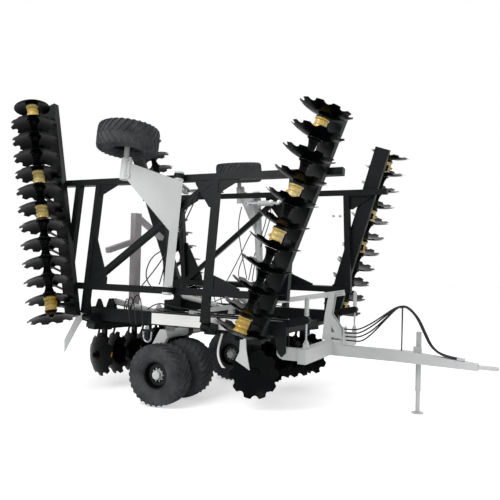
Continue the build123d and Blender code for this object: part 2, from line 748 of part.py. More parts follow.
def eye(point, axis, bore):
    """A ring about an axis and the hole to cut through it."""
    point, axis = Vector(*point), Vector(*axis)
    ends = point - axis * (eye_width / 2), point + axis * (eye_width / 2)
    return rod(*ends, eye_radius), rod(point - axis * eye_width, point + axis * eye_width, bore)


def cylinder(base, tip, axis, barrel_length, inner_end):
    """Barrel and rod between two eyes, as separate pieces; the rod starts inner_end from the base."""
    base, tip = Vector(*base), Vector(*tip)
    way = (tip - base).normalized()
    base_eye, base_hole = eye(base, axis, cylinder_pin_radius + fit_clearance)
    tip_eye, tip_hole = eye(tip, axis, cylinder_pin_radius + fit_clearance)
    body = barrel(base, way, barrel_length) + base_eye - base_hole
    ram = rod(base + way * inner_end, tip - way * eye_seat, rod_radius) + tip_eye - tip_hole
    return body, ram


# Tongue

def tongue():
    """Two short arms on the frame's ears and a cross beam; the drawbar with the jack's pin; its eye; the tower."""
    arm = block((ear_x, tongue_beam_x), (ear_y - tongue_arm_width / 2, ear_y + tongue_arm_width / 2),
                (ear_z - 95, tongue_top))
    arm += rod((ear_x, ear_y - tongue_arm_width / 2, ear_z), (ear_x, ear_y + tongue_arm_width / 2, ear_z), 85)
    arm -= rod((ear_x, ear_y - 60, ear_z), (ear_x, ear_y + 60, ear_z), ear_pin_radius + fit_clearance)
    yoke = arm + mirror(arm, about=Plane.XZ)
    yoke += block((tongue_beam_x - 60, tongue_beam_x + 60), (-ear_y - 60, ear_y + 60), (drawbar_z - 60, tongue_top))
    for fork in rod_lugs():
        yoke += fork
    bar_end_x = hitch_x - 200
    side = [(tongue_beam_x, drawbar_z - 80), (3100, drawbar_z - 80), (bar_end_x, hitch_z - 45),
            (bar_end_x, hitch_z + 45), (3300, drawbar_top), (tongue_beam_x, drawbar_top)]
    hitch = block((bar_end_x - 60, hitch_x), (-hitch_eye_radius, hitch_eye_radius),
                  (hitch_z - hitch_thickness / 2, hitch_z + hitch_thickness / 2))
    hitch += Pos(hitch_x, 0, hitch_z) * Cylinder(hitch_eye_radius, hitch_thickness)
    hitch -= Pos(hitch_x, 0, hitch_z) * Cylinder(hitch_bore / 2, 200)
    edge = drawbar_width / 2
    drawbar = plate_y(side, 0, drawbar_width) - yoke - hitch
    drawbar += block((jack_x - 60, jack_x + 60), (edge, edge + jack_plate), (drawbar_z, jack_pivot_z + 45))
    drawbar += rod((jack_x, edge, jack_pivot_z), (jack_x, jack_y - jack_tube_radius - 4, jack_pivot_z), jack_pin_radius)
    return yoke, drawbar, hitch, tower() - yoke - drawbar


def tower():
    """Two leaning cheeks on the cross beam, with the levelling link's pin across their top."""
    pin_x, pin_z = tower_pin
    whole = rod((pin_x, -62, pin_z), (pin_x, 62, pin_z), link_pin_radius)
    behind, ahead, above = tower_head
    waist_rear, waist_front, waist_z = tower_waist
    web_rear, web_front, web_top = tower_web
    step_x, foot_z = tongue_beam_x - 50, drawbar_top
    outline = [(tower_rear_x, tongue_top), (step_x, tongue_top), (step_x, foot_z), (tower_front_x, foot_z),
               tower_shoulder, (waist_front, waist_z), (pin_x + ahead, pin_z + above), (pin_x - behind, pin_z + above),
               (waist_rear, waist_z)]
    hole_x, hole_z, size = tower_hole
    window = [(hole_x - size / 2, hole_z - size / 2), (hole_x + size / 2, hole_z - size / 2), (hole_x - size / 2, hole_z + size)]
    slot_rear, slot_front, slot_z, slot_high = tower_slot
    for side in (-1, 1):
        cheek = plate_y(outline, side * tower_cheek_y, 16) - plate_y(window, side * tower_cheek_y, 40)
        whole += cheek - block((slot_rear, slot_front), sorted((side * 30, side * 90)),
                               (slot_z - slot_high / 2, slot_z + slot_high / 2))
    whole += block((web_rear, web_front), (-tower_cheek_y, tower_cheek_y), (tongue_top - 10, web_top))
    return whole + block((tower_front_x - 8, tower_front_x + 7), (-80, 80), (foot_z, tower_shoulder[1] + 40))


def levelling_link():
    """A tapered bar from the rockshaft's lever to the tower."""
    pin_x, pin_z = tower_pin
    tip_x, tip_z = link_lever_tip
    rise = (pin_z - tip_z) / (pin_x - tip_x)
    # Distance from the rear eye along X, and half the bar's depth there
    shape = ((25, 20), (460, 40), (pin_x - tip_x - 190, 40), (pin_x - tip_x - 60, 32))
    line = [(tip_x + run, tip_z + run * rise, half) for run, half in shape]
    outline = [(x, z + half) for x, z, half in line] + [(x, z - half) for x, z, half in reversed(line)]
    bar = plate_y(outline, 0, 60)
    for x, z in (link_lever_tip, tower_pin):
        ring, hole = eye((x, 0, z), (0, 1, 0), link_pin_radius + fit_clearance)
        bar = bar + ring - hole
    nose = beam((pin_x - 150, 0, pin_z - 150 * rise), (pin_x + link_nose, 0, pin_z + link_nose * rise), 60, 84)
    for number in range(10):
        along = 45 + (number // 2) * link_hole_step
        x, z = pin_x + along, pin_z + along * rise + (18 if number % 2 else -18)
        nose -= rod((x, -60, z), (x, 60, z), link_hole_radius)
    hole = eye((pin_x, 0, pin_z), (0, 1, 0), link_pin_radius + fit_clearance)[1]
    return bar + nose - hole


def levelling_rod(side):
    """Threaded rod on the tongue's beam, through its guide on the frame, with a spring above."""
    x, y = guide[0], side * rail_y
    foot_z = tongue_top + rod_foot_rise
    spring_low = guide[1] + guide_height / 2 + 6
    return (rod((x, y, foot_z), (x, y, 1680), levelling_rod_radius)
            + rod((x, y, spring_low), (x, y, spring_low + 214), 34)
            + rod((x, y - 30, foot_z), (x, y + 30, foot_z), 28)
            - rod((x, y - 60, foot_z), (x, y + 60, foot_z), rod_foot_pin + fit_clearance))


def rod_lugs():
    """A fork and pin on the tongue's beam for each levelling rod's foot."""
    x, foot_z = guide[0], tongue_top + rod_foot_rise
    whole = []
    for side in (-1, 1):
        y = side * rail_y
        fork = rod((x, y - 49, foot_z), (x, y + 49, foot_z), rod_foot_pin)
        for cheek in (-1, 1):
            fork += block((x - 25, x + 25), (y + cheek * 42 - 8, y + cheek * 42 + 8), (tongue_top - 5, foot_z + 35))
        whole.append(fork)
    return whole


def jack():
    """A tube on a side pin, with its leg run out to a round foot on the ground."""
    edge = drawbar_width / 2 + jack_plate + 1
    post = rod((jack_x, jack_y, 320), (jack_x, jack_y, 1180), jack_tube_radius)
    leg = rod((jack_x, jack_y, 14), (jack_x, jack_y, 330), jack_tube_radius - 8)
    foot = Pos(jack_x, jack_y, 7) * Cylinder(jack_foot_radius, 14)
    boss = rod((jack_x, edge, jack_pivot_z), (jack_x, jack_y, jack_pivot_z), jack_pin_radius + 22)
    hole = rod((jack_x, 0, jack_pivot_z), (jack_x, jack_y - jack_tube_radius, jack_pivot_z),
               jack_pin_radius + fit_clearance)
    return post + leg + foot + boss - hole


def hose_stand():
    """A thin post on the drawbar, with the rest that the hoses run over."""
    post = rod((hose_stand_x, 0, drawbar_top), (hose_stand_x, 0, hose_rest_z), 10)
    return post + block((hose_stand_x - 15, hose_stand_x + 15), (-80, 80), (hose_rest_z, hose_rest_z + 10))


hose_routes = {
    "hose_1": [(2342, -54, 1160), (2440, -54, 1160), (2560, -54, 1165), (2740, -54, 1262), (2930, -54, 1400),
               (3110, -54, 1535), (3240, -54, 1562), (3410, -54, 1415), (3520, -54, 1190), (3620, -54, 990),
               (3780, -54, 882), (3960, -54, 865)],
    "hose_2": [(2342, -18, 1100), (2440, -18, 1100), (2570, -18, 1110), (2750, -18, 1225), (2940, -18, 1385),
               (3110, -18, 1530), (3240, -18, 1560), (3390, -18, 1420), (3500, -18, 1190), (3600, -18, 990),
               (3770, -18, 883), (3960, -18, 865)],
    "hose_3": [(2342, 18, 1040), (2440, 18, 1040), (2570, 18, 1052), (2740, 18, 1150), (2930, 18, 1340),
               (3100, 18, 1520), (3240, 18, 1562), (3410, 18, 1415), (3520, 18, 1190), (3620, 18, 985),
               (3780, 18, 882), (3960, 18, 865)],
    "hose_4": [(2342, 54, 980), (2440, 54, 980), (2580, 54, 975), (2750, 54, 1120), (2940, 54, 1340),
               (3110, 54, 1528), (3240, 54, 1560), (3390, 54, 1420), (3500, 54, 1190), (3600, 54, 985),
               (3770, 54, 883), (3960, 54, 865)],
}


def corner_radii(points):
    """The largest arc that each corner's two runs leave room for."""
    radii = []
    for a, b, c in zip(points, points[1:], points[2:]):
        before, after = Vector(*b) - Vector(*a), Vector(*c) - Vector(*b)
        half = radians(before.get_angle(after) / 2)
        radii.append(0.45 * min(before.length, after.length) / tan(half))
    return radii


def hose(points):
    radii = corner_radii(points)
    path = FilletPolyline(*points, radius=radii)
    start = Vector(*points[0])
    section = Plane(start, z_dir=Vector(*points[1]) - start) * Circle(hose_radius)
    return sweep(section, path=path), min(radii)


def hose_couplers():
    pieces = []
    for points in hose_routes.values():
        end, before = Vector(*points[-1]), Vector(*points[-2])
        way = (end - before).normalized()
        pieces.append(rod(end, end + way * 90, coupler_radius))
    return pieces


# Build every node

def centre(maker):
    """One kind of piece from both centre gangs, on both sides."""
    return both_sides(*[piece for gang in ("front_centre", "rear_centre") for piece in maker(gang)])


def wing(maker, side):
    """One kind of piece from both gangs of a wing, folded."""
    return [fold(piece, side) for gang in ("front_wing", "rear_wing") for piece in maker(gang)]


def build():
    grid = main_frame()
    hollow_grid = grid
    for room in main_frame_rooms():
        hollow_grid -= room
    save("main_frame", hollow_grid)
    save("centre_rails", *centre_rails(grid))
    save("fold_brackets", *both_sides(fold_bracket()))
    save("rear_mast", *rear_mast())
    save("centre_gang_beams", *centre(gang_beam))
    save("centre_hangers", *centre(hangers))
    save("centre_bearings", *centre(bearings))
    save("centre_scrapers", *centre(scrapers))
    for side, name in ((1, "left"), (-1, "right")):
        save(f"{name}_wing_frame", wing_frame(side))
        save(f"{name}_gang_beams", *wing(gang_beam, side))
        save(f"{name}_wing_hangers", *wing(hangers, side))
        save(f"{name}_wing_bearings", *wing(bearings, side))
        save(f"{name}_wing_scrapers", *wing(scrapers, side))
        save(f"{name}_front_gang", fold(rotor("front_wing"), side))
        save(f"{name}_rear_gang", fold(rotor("rear_wing", end_disc_radius), side))
        save(f"{name}_centre_front_gang", on_side(rotor("front_centre"), side))
        save(f"{name}_centre_rear_gang", on_side(rotor("rear_centre"), side))
        save(f"{name}_wheel_arm", wing_wheel_arm(side))
        wheel_z = frame_z - wing_wheel_drop
        save(f"{name}_wing_tyre", fold(tyre(wing_wheel_x, wing_wheel_y, wheel_z, wheel_width), side))
        save(f"{name}_wing_rim", fold(wing_rim(), side))
        pair = (inner_wheel_y, outer_wheel_y)
        save(f"{name}_transport_tyres", *[on_side(tyre(0, y, wheel_radius, wheel_width), side) for y in pair])
        save(f"{name}_transport_rims", on_side(twin_rims(), side))
        base_y, base_z = fold_base
        tip_y, tip_z = fold_end(fold_angle)
        closed = hypot(tip_y - base_y, tip_z - base_z)
        body, ram = cylinder((fold_cylinder_x, base_y, base_z), (fold_cylinder_x, tip_y, tip_z), (1, 0, 0),
                             closed - eye_radius - fold_barrel_gap, barrel_start + 8)
        save(f"{name}_fold_barrel", on_side(body, side))
        save(f"{name}_fold_rod", on_side(ram, side))
        base_x, base_z = lift_base
        tip_x, tip_z = lift_lever_tip(0)
        body, ram = cylinder((base_x, lift_y, base_z), (tip_x, lift_y, tip_z), (0, 1, 0), lift_barrel_length, 600)
        save(f"{name}_lift_barrel", on_side(body, side))
        save(f"{name}_lift_rod", on_side(ram, side))
        tip_x, tip_z = wing_lift_tip(0)
        body, ram = cylinder((wing_lift_base_x, wing_lift_y, frame_z + wing_lift_rise), (tip_x, wing_lift_y, tip_z),
                             (0, 1, 0), wing_barrel_length, 300)
        save(f"{name}_wing_lift_barrel", fold(body, side))
        save(f"{name}_wing_lift_rod", fold(ram, side))
        save(f"{name}_levelling_rod", levelling_rod(side))
    save("rockshaft", rockshaft())
    save("tongue", *tongue())
    save("levelling_link", levelling_link())
    save("jack", jack())
    save("hose_stand", hose_stand())
    for name, points in hose_routes.items():
        solid, tightest = hose(points)
        save(name, solid)
        print(name, "tightest radius", round(tightest), "length", round(solid.volume / (pi * hose_radius ** 2)))
    save("hose_couplers", *hose_couplers())


build()
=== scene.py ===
import json
import random
from math import cos, pi, radians, sin

import bmesh
import bpy
from mathutils import Matrix, Vector


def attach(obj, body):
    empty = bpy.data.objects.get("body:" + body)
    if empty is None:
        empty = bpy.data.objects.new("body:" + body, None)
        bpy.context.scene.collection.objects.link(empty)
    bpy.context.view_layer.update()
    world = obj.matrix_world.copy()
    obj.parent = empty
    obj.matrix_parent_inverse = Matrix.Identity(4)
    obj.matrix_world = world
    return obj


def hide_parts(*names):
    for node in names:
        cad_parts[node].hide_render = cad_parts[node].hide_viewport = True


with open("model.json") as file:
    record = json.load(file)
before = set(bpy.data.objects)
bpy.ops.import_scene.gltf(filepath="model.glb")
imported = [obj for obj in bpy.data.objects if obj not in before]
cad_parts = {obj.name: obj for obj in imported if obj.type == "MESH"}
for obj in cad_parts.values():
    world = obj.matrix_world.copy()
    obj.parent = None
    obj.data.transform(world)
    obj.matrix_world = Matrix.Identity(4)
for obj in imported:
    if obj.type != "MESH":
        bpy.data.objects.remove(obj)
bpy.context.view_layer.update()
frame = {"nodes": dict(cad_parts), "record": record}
scene = bpy.context.scene
nodes = frame["nodes"]
sides = {"left": 1, "right": -1}
middleX = 0.807  # the origin lies this far ahead of the transport axle


# Shader maths: a wire is one socket, and arithmetic on it adds Math nodes

class Wire:
    def __init__(self, shader, socket):
        self.shader, self.socket = shader, socket

    def maths(self, operation, other):
        return self.shader.add("ShaderNodeMath", {"operation": operation}, {0: self, 1: other})

    def __add__(self, other):
        return self.maths("ADD", other)

    def __mul__(self, other):
        return self.maths("MULTIPLY", other)

    def over(self, level):  # 1 above the level, 0 below
        return self.maths("GREATER_THAN", level)

    __radd__, __rmul__ = __add__, __mul__


class Shader:
    def __init__(self, name):
        self.material = bpy.data.materials.new(name)
        self.material.use_nodes = True
        self.tree = self.material.node_tree
        self.surface = self.tree.nodes["Principled BSDF"]

    def add(self, kind, settings=None, values=None, out=0):
        node = self.tree.nodes.new(kind)
        for key, value in (settings or {}).items():
            if key == "stops":
                while len(node.color_ramp.elements) < len(value):
                    node.color_ramp.elements.new(0.5)
                for element, (place, shade) in zip(node.color_ramp.elements, value):
                    element.position, element.color = place, (shade, shade, shade, 1)
            else:
                setattr(node, key, value)
        for key, value in (values or {}).items():
            self.plug(node.inputs[key], value)
        return Wire(self, node.outputs[out])

    def plug(self, socket, value):
        if isinstance(value, Wire):
            self.tree.links.new(value.socket, socket)
        else:
            socket.default_value = value

    def finish(self, **values):
        for key, value in values.items():
            self.plug(self.surface.inputs[key.replace("_", " ")], value)
        return self.material

    def place(self):
        return self.add("ShaderNodeTexCoord", out="Object")

    def noise(self, scale, detail=3.0, stretch=(1, 1, 1)):
        spot = self.add("ShaderNodeMapping", values={"Vector": self.place(), "Scale": stretch})
        return self.add("ShaderNodeTexNoise", values={"Vector": spot, "Scale": scale, "Detail": detail})

    def ramp(self, value, *stops):
        return self.add("ShaderNodeValToRGB", {"stops": stops}, {"Fac": value})

    def mix(self, amount, first, second):
        return self.add("ShaderNodeMix", {"data_type": "RGBA"}, {0: amount, 6: first, 7: second}, 2)

    def bump(self, height, strength, distance):
        return self.add("ShaderNodeBump", values={"Height": height, "Strength": strength, "Distance": distance})


def colour(text):
    parts = [int(text[i:i + 2], 16) / 255 for i in (0, 2, 4)]
    return (*[v / 12.92 if v < 0.04045 else ((v + 0.055) / 1.055) ** 2.4 for v in parts], 1)


paints = {  # base colour, dust colour, dust amount, roughness, gloss, whether it is chipped; on golden the dust colour is a painted highlight
    "charcoal": ("0c0e0f", "1a1c1e", 0.45, 0.44, 0.14, True),
    "pale": ("c6c8c8", "a19d9c", 0.32, 0.45, 0.4, False),
    # a darker, purple-tinted copy of the pale paint, painted shade for the rear mast
    "mauve": ("a9a5a6", "74696c", 0.55, 0.5, 0.3, False),
    "blackDisc": ("020304", "0a0c0d", 0.4, 0.26, 0.05, False),
    # golden: its pale yellow dust colour, laid on in broad noise patches, is a painted highlight
    "golden": ("c79f26", "f8ecae", 0.8, 0.2, 0.8, False),
    "wheelBlack": ("050607", "101113", 0.4, 0.34, 0.2, False),
    "white": ("f2f2f0", "dcdcda", 0.3, 0.4, 0.4, False),
}


def paint(name):
    base, dust, amount, rough, gloss, chipped = paints[name]
    make = Shader(name)
    broad = make.noise(1.6, 4.0)
    fine = make.noise(38.0, 3.0)
    # noise patches of the dust colour: real dust on most paints, painted highlights on golden
    dustAndHighlightCloud = make.ramp(broad * 0.7 + fine * 0.3, (0.38, 0.0), (0.66, 1.0))
    skin = make.mix(dustAndHighlightCloud * amount, colour(base), colour(dust))
    if chipped:
        spots = make.noise(60.0, 2.0).over(0.74)
        skin = make.mix(spots * 0.5, skin, colour("77797b"))
    grain = make.noise(420.0, 2.0)
    return make.finish(Base_Color=skin, Roughness=make.ramp(broad, (0.3, rough - 0.08), (0.7, rough + 0.1)),
                       Specular_IOR_Level=gloss, Normal=make.bump(grain, 0.12, 0.0006))


def rubber(name, base, dust, gloss):
    make = Shader(name)
    broad = make.noise(5.0, 5.0)
    fine = make.noise(90.0, 4.0)
    skin = make.mix(make.ramp(broad * 0.5 + fine * 0.5, (0.36, 0.0), (0.64, 1.0)), colour(base), colour(dust))
    return make.finish(Base_Color=skin, Roughness=make.ramp(fine, (0.3, 0.62), (0.7, 0.85)),
                       Specular_IOR_Level=gloss, Normal=make.bump(fine, 0.35, 0.0012))


def metal(name, base, rough, streak):
    make = Shader(name)
    lines = make.noise(30.0, 3.0, (1, 1, streak))
    skin = make.mix(make.ramp(lines, (0.3, 0.0), (0.7, 1.0)), colour(base), colour("8d9093"))
    return make.finish(Base_Color=skin, Metallic=0.85,
                       Roughness=make.ramp(lines, (0.3, rough), (0.7, rough + 0.15)),
                       Normal=make.bump(lines, 0.1, 0.0005))


finishes = {name: paint(name) for name in paints}
finishes["tyre"] = rubber("tyre", "202224", "4a4c4e", 0.18)
finishes["hose"] = rubber("hose", "17181a", "25272a", 0.35)
finishes["chrome"] = metal("chrome", "d5d8da", 0.18, 4)
finishes["zinc"] = metal("zinc", "c4c6c8", 0.34, 1)
nodeFinish = {"charcoal_paint": "charcoal", "light_grey_paint": "pale", "disc_steel": "blackDisc",
              "bearing_yellow": "golden", "tyre_rubber": "tyre", "black_wheel": "wheelBlack", "rod_chrome": "chrome",
              "hose_rubber": "hose", "coupler_steel": "zinc"}
for part in frame["record"]["subparts"]:
    # the rear mast gets the darker purple copy of the pale paint, a painted shade
    name = "mauve" if part["node"] == "rear_mast" else nodeFinish[part["material_slot"]]
    for place in nodes[part["node"]].material_slots:
        place.material = finishes[name]
print("materials ready")


# Camera, lamps and floor

camera = {"place": (4.26, -8.662, 2.183), "yaw": 116.798, "pitch": 0.837, "roll": 1.423, "lens": 42.581}


def aim():
    yaw, pitch, roll = (radians(camera[key]) for key in ("yaw", "pitch", "roll"))
    ahead = Vector((cos(yaw) * cos(pitch), sin(yaw) * cos(pitch), sin(pitch)))
    level = ahead.cross(Vector((0, 0, 1))).normalized()
    above = level.cross(ahead)
    across = cos(roll) * level + sin(roll) * above
    upright = cos(roll) * above - sin(roll) * level
    turn = Matrix((across, upright, -ahead)).transposed().to_4x4()
    turn.translation = Vector(camera["place"])
    return turn


view = bpy.data.cameras.new("camera")
view.lens, view.sensor_width, view.clip_end = camera["lens"], 36, 200
viewer = bpy.data.objects.new("camera", view)
viewer.matrix_world = aim()
scene.collection.objects.link(viewer)
scene.camera = viewer
scene.view_settings.view_transform = "Standard"

lamps = {  # place, aim, side of the square, watts
    "key": ((-2.5, -9.5, 9.0), (0, 0, 1.6), 6.0, 820),
    "fill": ((9.0, -5.0, 5.0), (0, 0, 1.5), 6.0, 210),
    "back": ((2.0, 9.0, 8.0), (0, 0, 2.0), 6.0, 260),
}
for name, (place, target, side, watts) in lamps.items():
    lamp = bpy.data.lights.new(name, "AREA")
    lamp.energy, lamp.size = watts, side
    shining = bpy.data.objects.new(name, lamp)
    shining.location = place
    shining.rotation_euler = (Vector(target) - Vector(place)).to_track_quat("-Z", "Y").to_euler()
    scene.collection.objects.link(shining)


def seenDirectly(tree):  # 1 for rays that come straight from the camera, or through a mirror or glass
    path = tree.nodes.new("ShaderNodeLightPath")
    total = path.outputs["Is Camera Ray"]
    for name in ("Is Glossy Ray", "Is Transmission Ray"):
        join = tree.nodes.new("ShaderNodeMath")
        join.operation = "MAXIMUM"
        tree.links.new(total, join.inputs[0])
        tree.links.new(path.outputs[name], join.inputs[1])
        total = join.outputs[0]
    return total


def skyWorld():
    world = bpy.data.worlds.new("studio")
    world.use_nodes = True
    tree = world.node_tree
    seen, lit = tree.nodes["Background"], tree.nodes.new("ShaderNodeBackground")
    seen.inputs["Color"].default_value, seen.inputs["Strength"].default_value = (1, 1, 1, 1), 1.0
    lit.inputs["Color"].default_value, lit.inputs["Strength"].default_value = (1, 1, 1, 1), 0.5
    choose = tree.nodes.new("ShaderNodeMixShader")
    tree.links.new(seenDirectly(tree), choose.inputs[0])
    tree.links.new(lit.outputs[0], choose.inputs[1])
    tree.links.new(seen.outputs[0], choose.inputs[2])
    tree.links.new(choose.outputs[0], tree.nodes["World Output"].inputs[0])
    return world


def floorMaterial():  # white where the lamps reach it, and it keeps the object's shadow
    make = Shader("floor")
    make.finish(Base_Color=(0.9, 0.9, 0.9, 1), Roughness=0.9, Specular_IOR_Level=0.1)
    glow = make.tree.nodes.new("ShaderNodeEmission")
    glow.inputs["Strength"].default_value = 0.52
    both = make.tree.nodes.new("ShaderNodeAddShader")
    choose = make.tree.nodes.new("ShaderNodeMixShader")
    links = make.tree.links
    links.new(make.surface.outputs[0], both.inputs[0])
    links.new(glow.outputs[0], both.inputs[1])
    links.new(seenDirectly(make.tree), choose.inputs[0])
    links.new(make.surface.outputs[0], choose.inputs[1])
    links.new(both.outputs[0], choose.inputs[2])
    links.new(choose.outputs[0], make.tree.nodes["Material Output"].inputs[0])
    return make.material


scene.world = skyWorld()
ground = bpy.data.meshes.new("floor")
ground.from_pydata([(-60, -60, 0), (60, -60, 0), (60, 60, 0), (-60, 60, 0)], [], [(0, 1, 2, 3)])
ground.materials.append(floorMaterial())
floor = bpy.data.objects.new("floor", ground)
scene.collection.objects.link(floor)
print("camera and lamps ready")


# Hoses: metres in the working layout, forward of the transport axle

hoses = {
    "radius": 0.011,
    "hose_1": (-0.054, ((2.342, 1.16), (2.44, 1.16), (2.56, 1.165), (2.74, 1.262), (2.93, 1.4), (3.11, 1.535),
                        (3.24, 1.562), (3.41, 1.415), (3.52, 1.19), (3.62, 0.99), (3.78, 0.882), (3.96, 0.865))),
    "hose_2": (-0.018, ((2.342, 1.1), (2.44, 1.1), (2.57, 1.11), (2.75, 1.225), (2.94, 1.385), (3.11, 1.53),
                        (3.24, 1.56), (3.39, 1.42), (3.5, 1.19), (3.6, 0.99), (3.77, 0.883), (3.96, 0.865))),
    "hose_3": (0.018, ((2.342, 1.04), (2.44, 1.04), (2.57, 1.052), (2.74, 1.15), (2.93, 1.34), (3.1, 1.52),
                       (3.24, 1.562), (3.41, 1.415), (3.52, 1.19), (3.62, 0.985), (3.78, 0.882), (3.96, 0.865))),
    "hose_4": (0.054, ((2.342, 0.98), (2.44, 0.98), (2.58, 0.975), (2.75, 1.12), (2.94, 1.34), (3.11, 1.528),
                       (3.24, 1.56), (3.39, 1.42), (3.5, 1.19), (3.6, 0.985), (3.77, 0.883), (3.96, 0.865))),
}


def curve(name, points, radius, rounds, steps):
    data = bpy.data.curves.new(name, "CURVE")
    data.dimensions, data.bevel_depth, data.bevel_resolution, data.use_fill_caps = "3D", radius, rounds, True
    data.resolution_u = steps
    spline = data.splines.new("NURBS")
    spline.points.add(len(points) - 1)
    for knot, point in zip(spline.points, points):
        knot.co = (*point, 1)
    spline.order_u, spline.use_endpoint_u = 3, True
    piece = bpy.data.objects.new(name, data)
    scene.collection.objects.link(piece)
    return piece


hoseLengths = {"hose_1": 2.065, "hose_2": 2.098, "hose_3": 2.134, "hose_4": 2.187}
for name, length in hoseLengths.items():
    y, points = hoses[name]
    hose = curve(name, [(x - middleX, y, z) for x, z in points], hoses["radius"], 4, 12)
    hose.data.materials.append(finishes["hose"])
    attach(hose, "tongue")
    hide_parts(name)
    points[0][0] - middleX
print("hoses ready")


# Mesh making

class Shape:  # one mesh, gathered from solids
    def __init__(self):
        self.mesh = bmesh.new()

    def add(self, points, faces, place=Matrix.Identity(4)):
        verts = [self.mesh.verts.new(place @ Vector(p)) for p in points]
        for face in faces:
            self.mesh.faces.new([verts[i] for i in face])
        return self

    def prism(self, outline, low, high, place=Matrix.Identity(4)):
        count = len(outline)
        points = [(x, y, z) for z in (low, high) for x, y in outline]
        faces = [list(range(count))[::-1], list(range(count, 2 * count))]
        faces += [(i, (i + 1) % count, count + (i + 1) % count, count + i) for i in range(count)]
        return self.add(points, faces, place)

    def box(self, low, high, place=Matrix.Identity(4)):
        outline = [(low[0], low[1]), (high[0], low[1]), (high[0], high[1]), (low[0], high[1])]
        return self.prism(outline, low[2], high[2], place)

    def lathe(self, profile, segments, place=Matrix.Identity(4)):
        # profile rows are (radius, along), from axis to axis or as a closed ring
        ring = [(cos(2 * pi * i / segments), sin(2 * pi * i / segments)) for i in range(segments)]
        solid = profile[0][0] == 0
        rows = profile[1:-1] if solid else profile
        points = [(r * c, r * s, z) for r, z in rows for c, s in ring]
        faces = []
        for j in range(len(rows) - (1 if solid else 0)):
            k = (j + 1) % len(rows)
            faces += [(j * segments + i, j * segments + (i + 1) % segments,
                       k * segments + (i + 1) % segments, k * segments + i) for i in range(segments)]
        if solid:
            last = (len(rows) - 1) * segments
            faces += [tuple(range(segments))[::-1], tuple(last + i for i in range(segments))]
        return self.add(points, faces, place)

    def rod(self, start, end, radius, segments=16, place=Matrix.Identity(4)):
        start, end = Vector(start), Vector(end)
        turn = (end - start).to_track_quat("Z", "Y").to_matrix().to_4x4()
        long = (end - start).length
        profile = [(0, 0), (radius, 0), (radius, long), (0, long)]
        return self.lathe(profile, segments, place @ Matrix.Translation(start) @ turn)

    def plate(self, outline, thickness, normal, offset, place=Matrix.Identity(4)):
        # a flat plate of an outline in XZ (normal "Y"), YZ ("X") or XY ("Z"), centred on offset
        columns = {"Y": ((1, 0, 0), (0, 0, 1), (0, -1, 0)), "X": ((0, 1, 0), (0, 0, 1), (1, 0, 0)),
                   "Z": ((1, 0, 0), (0, 1, 0), (0, 0, 1))}[normal]
        turn = Matrix(columns).transposed().to_4x4()
        shift = {"Y": (0, offset, 0), "X": (offset, 0, 0), "Z": (0, 0, offset)}[normal]
        return self.prism(outline, -thickness / 2, thickness / 2, place @ Matrix.Translation(shift) @ turn)

    def piece(self, name, finish, body, bevel=0.0, replaces=()):
        bmesh.ops.recalc_face_normals(self.mesh, faces=self.mesh.faces)
        data = bpy.data.meshes.new(name)
        self.mesh.to_mesh(data)
        self.mesh.free()
        piece = bpy.data.objects.new(name, data)
        scene.collection.objects.link(piece)
        data.materials.append(finishes[finish])
        if bevel:
            edge = piece.modifiers.new("soft edges", "BEVEL")
            edge.width, edge.segments, edge.limit_method = bevel, 2, "ANGLE"
        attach(piece, body)
        if replaces:
            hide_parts(*replaces)
        return piece


def settle(piece):  # turn a piece's modifiers into its mesh
    bpy.context.view_layer.update()
    seen = piece.evaluated_get(bpy.context.evaluated_depsgraph_get())
    data = bpy.data.meshes.new_from_object(seen)
    piece.modifiers.clear()
    piece.data = data
    return piece


def socketNamed(tree, name):
    return next(item.identifier for item in tree.interface.items_tree
                if item.item_type == "SOCKET" and item.in_out == "INPUT" and item.name == name)


def copyTree():  # a geometry tree that sets copies of one shape on a mesh's points, turned along "facing"
    tree = bpy.data.node_groups.new("copies on points", "GeometryNodeTree")
    face = tree.interface
    face.new_socket("Points", in_out="INPUT", socket_type="NodeSocketGeometry")
    face.new_socket("Shape", in_out="INPUT", socket_type="NodeSocketObject")
    face.new_socket("Finish", in_out="INPUT", socket_type="NodeSocketMaterial")
    face.new_socket("Copies", in_out="OUTPUT", socket_type="NodeSocketGeometry")
    start, end = tree.nodes.new("NodeGroupInput"), tree.nodes.new("NodeGroupOutput")
    shape = tree.nodes.new("GeometryNodeObjectInfo")
    attribute = {}
    for name in ("facing", "upper"):
        attribute[name] = tree.nodes.new("GeometryNodeInputNamedAttribute")
        attribute[name].data_type = "FLOAT_VECTOR"
        attribute[name].inputs["Name"].default_value = name
    turn = tree.nodes.new("FunctionNodeAxesToRotation")
    turn.primary_axis, turn.secondary_axis = "Z", "X"
    copies = tree.nodes.new("GeometryNodeInstanceOnPoints")
    real = tree.nodes.new("GeometryNodeRealizeInstances")
    coat = tree.nodes.new("GeometryNodeSetMaterial")
    for a, b in ((start.outputs["Points"], copies.inputs["Points"]),
                 (start.outputs["Shape"], shape.inputs["Object"]),
                 (shape.outputs["Geometry"], copies.inputs["Instance"]),
                 (attribute["facing"].outputs["Attribute"], turn.inputs["Primary Axis"]),
                 (attribute["upper"].outputs["Attribute"], turn.inputs["Secondary Axis"]),
                 (turn.outputs["Rotation"], copies.inputs["Rotation"]),
                 (copies.outputs["Instances"], real.inputs["Geometry"]),
                 (real.outputs["Geometry"], coat.inputs["Geometry"]),
                 (start.outputs["Finish"], coat.inputs["Material"]),
                 (coat.outputs["Geometry"], end.inputs["Copies"])):
        tree.links.new(a, b)
    return tree


copying = copyTree()


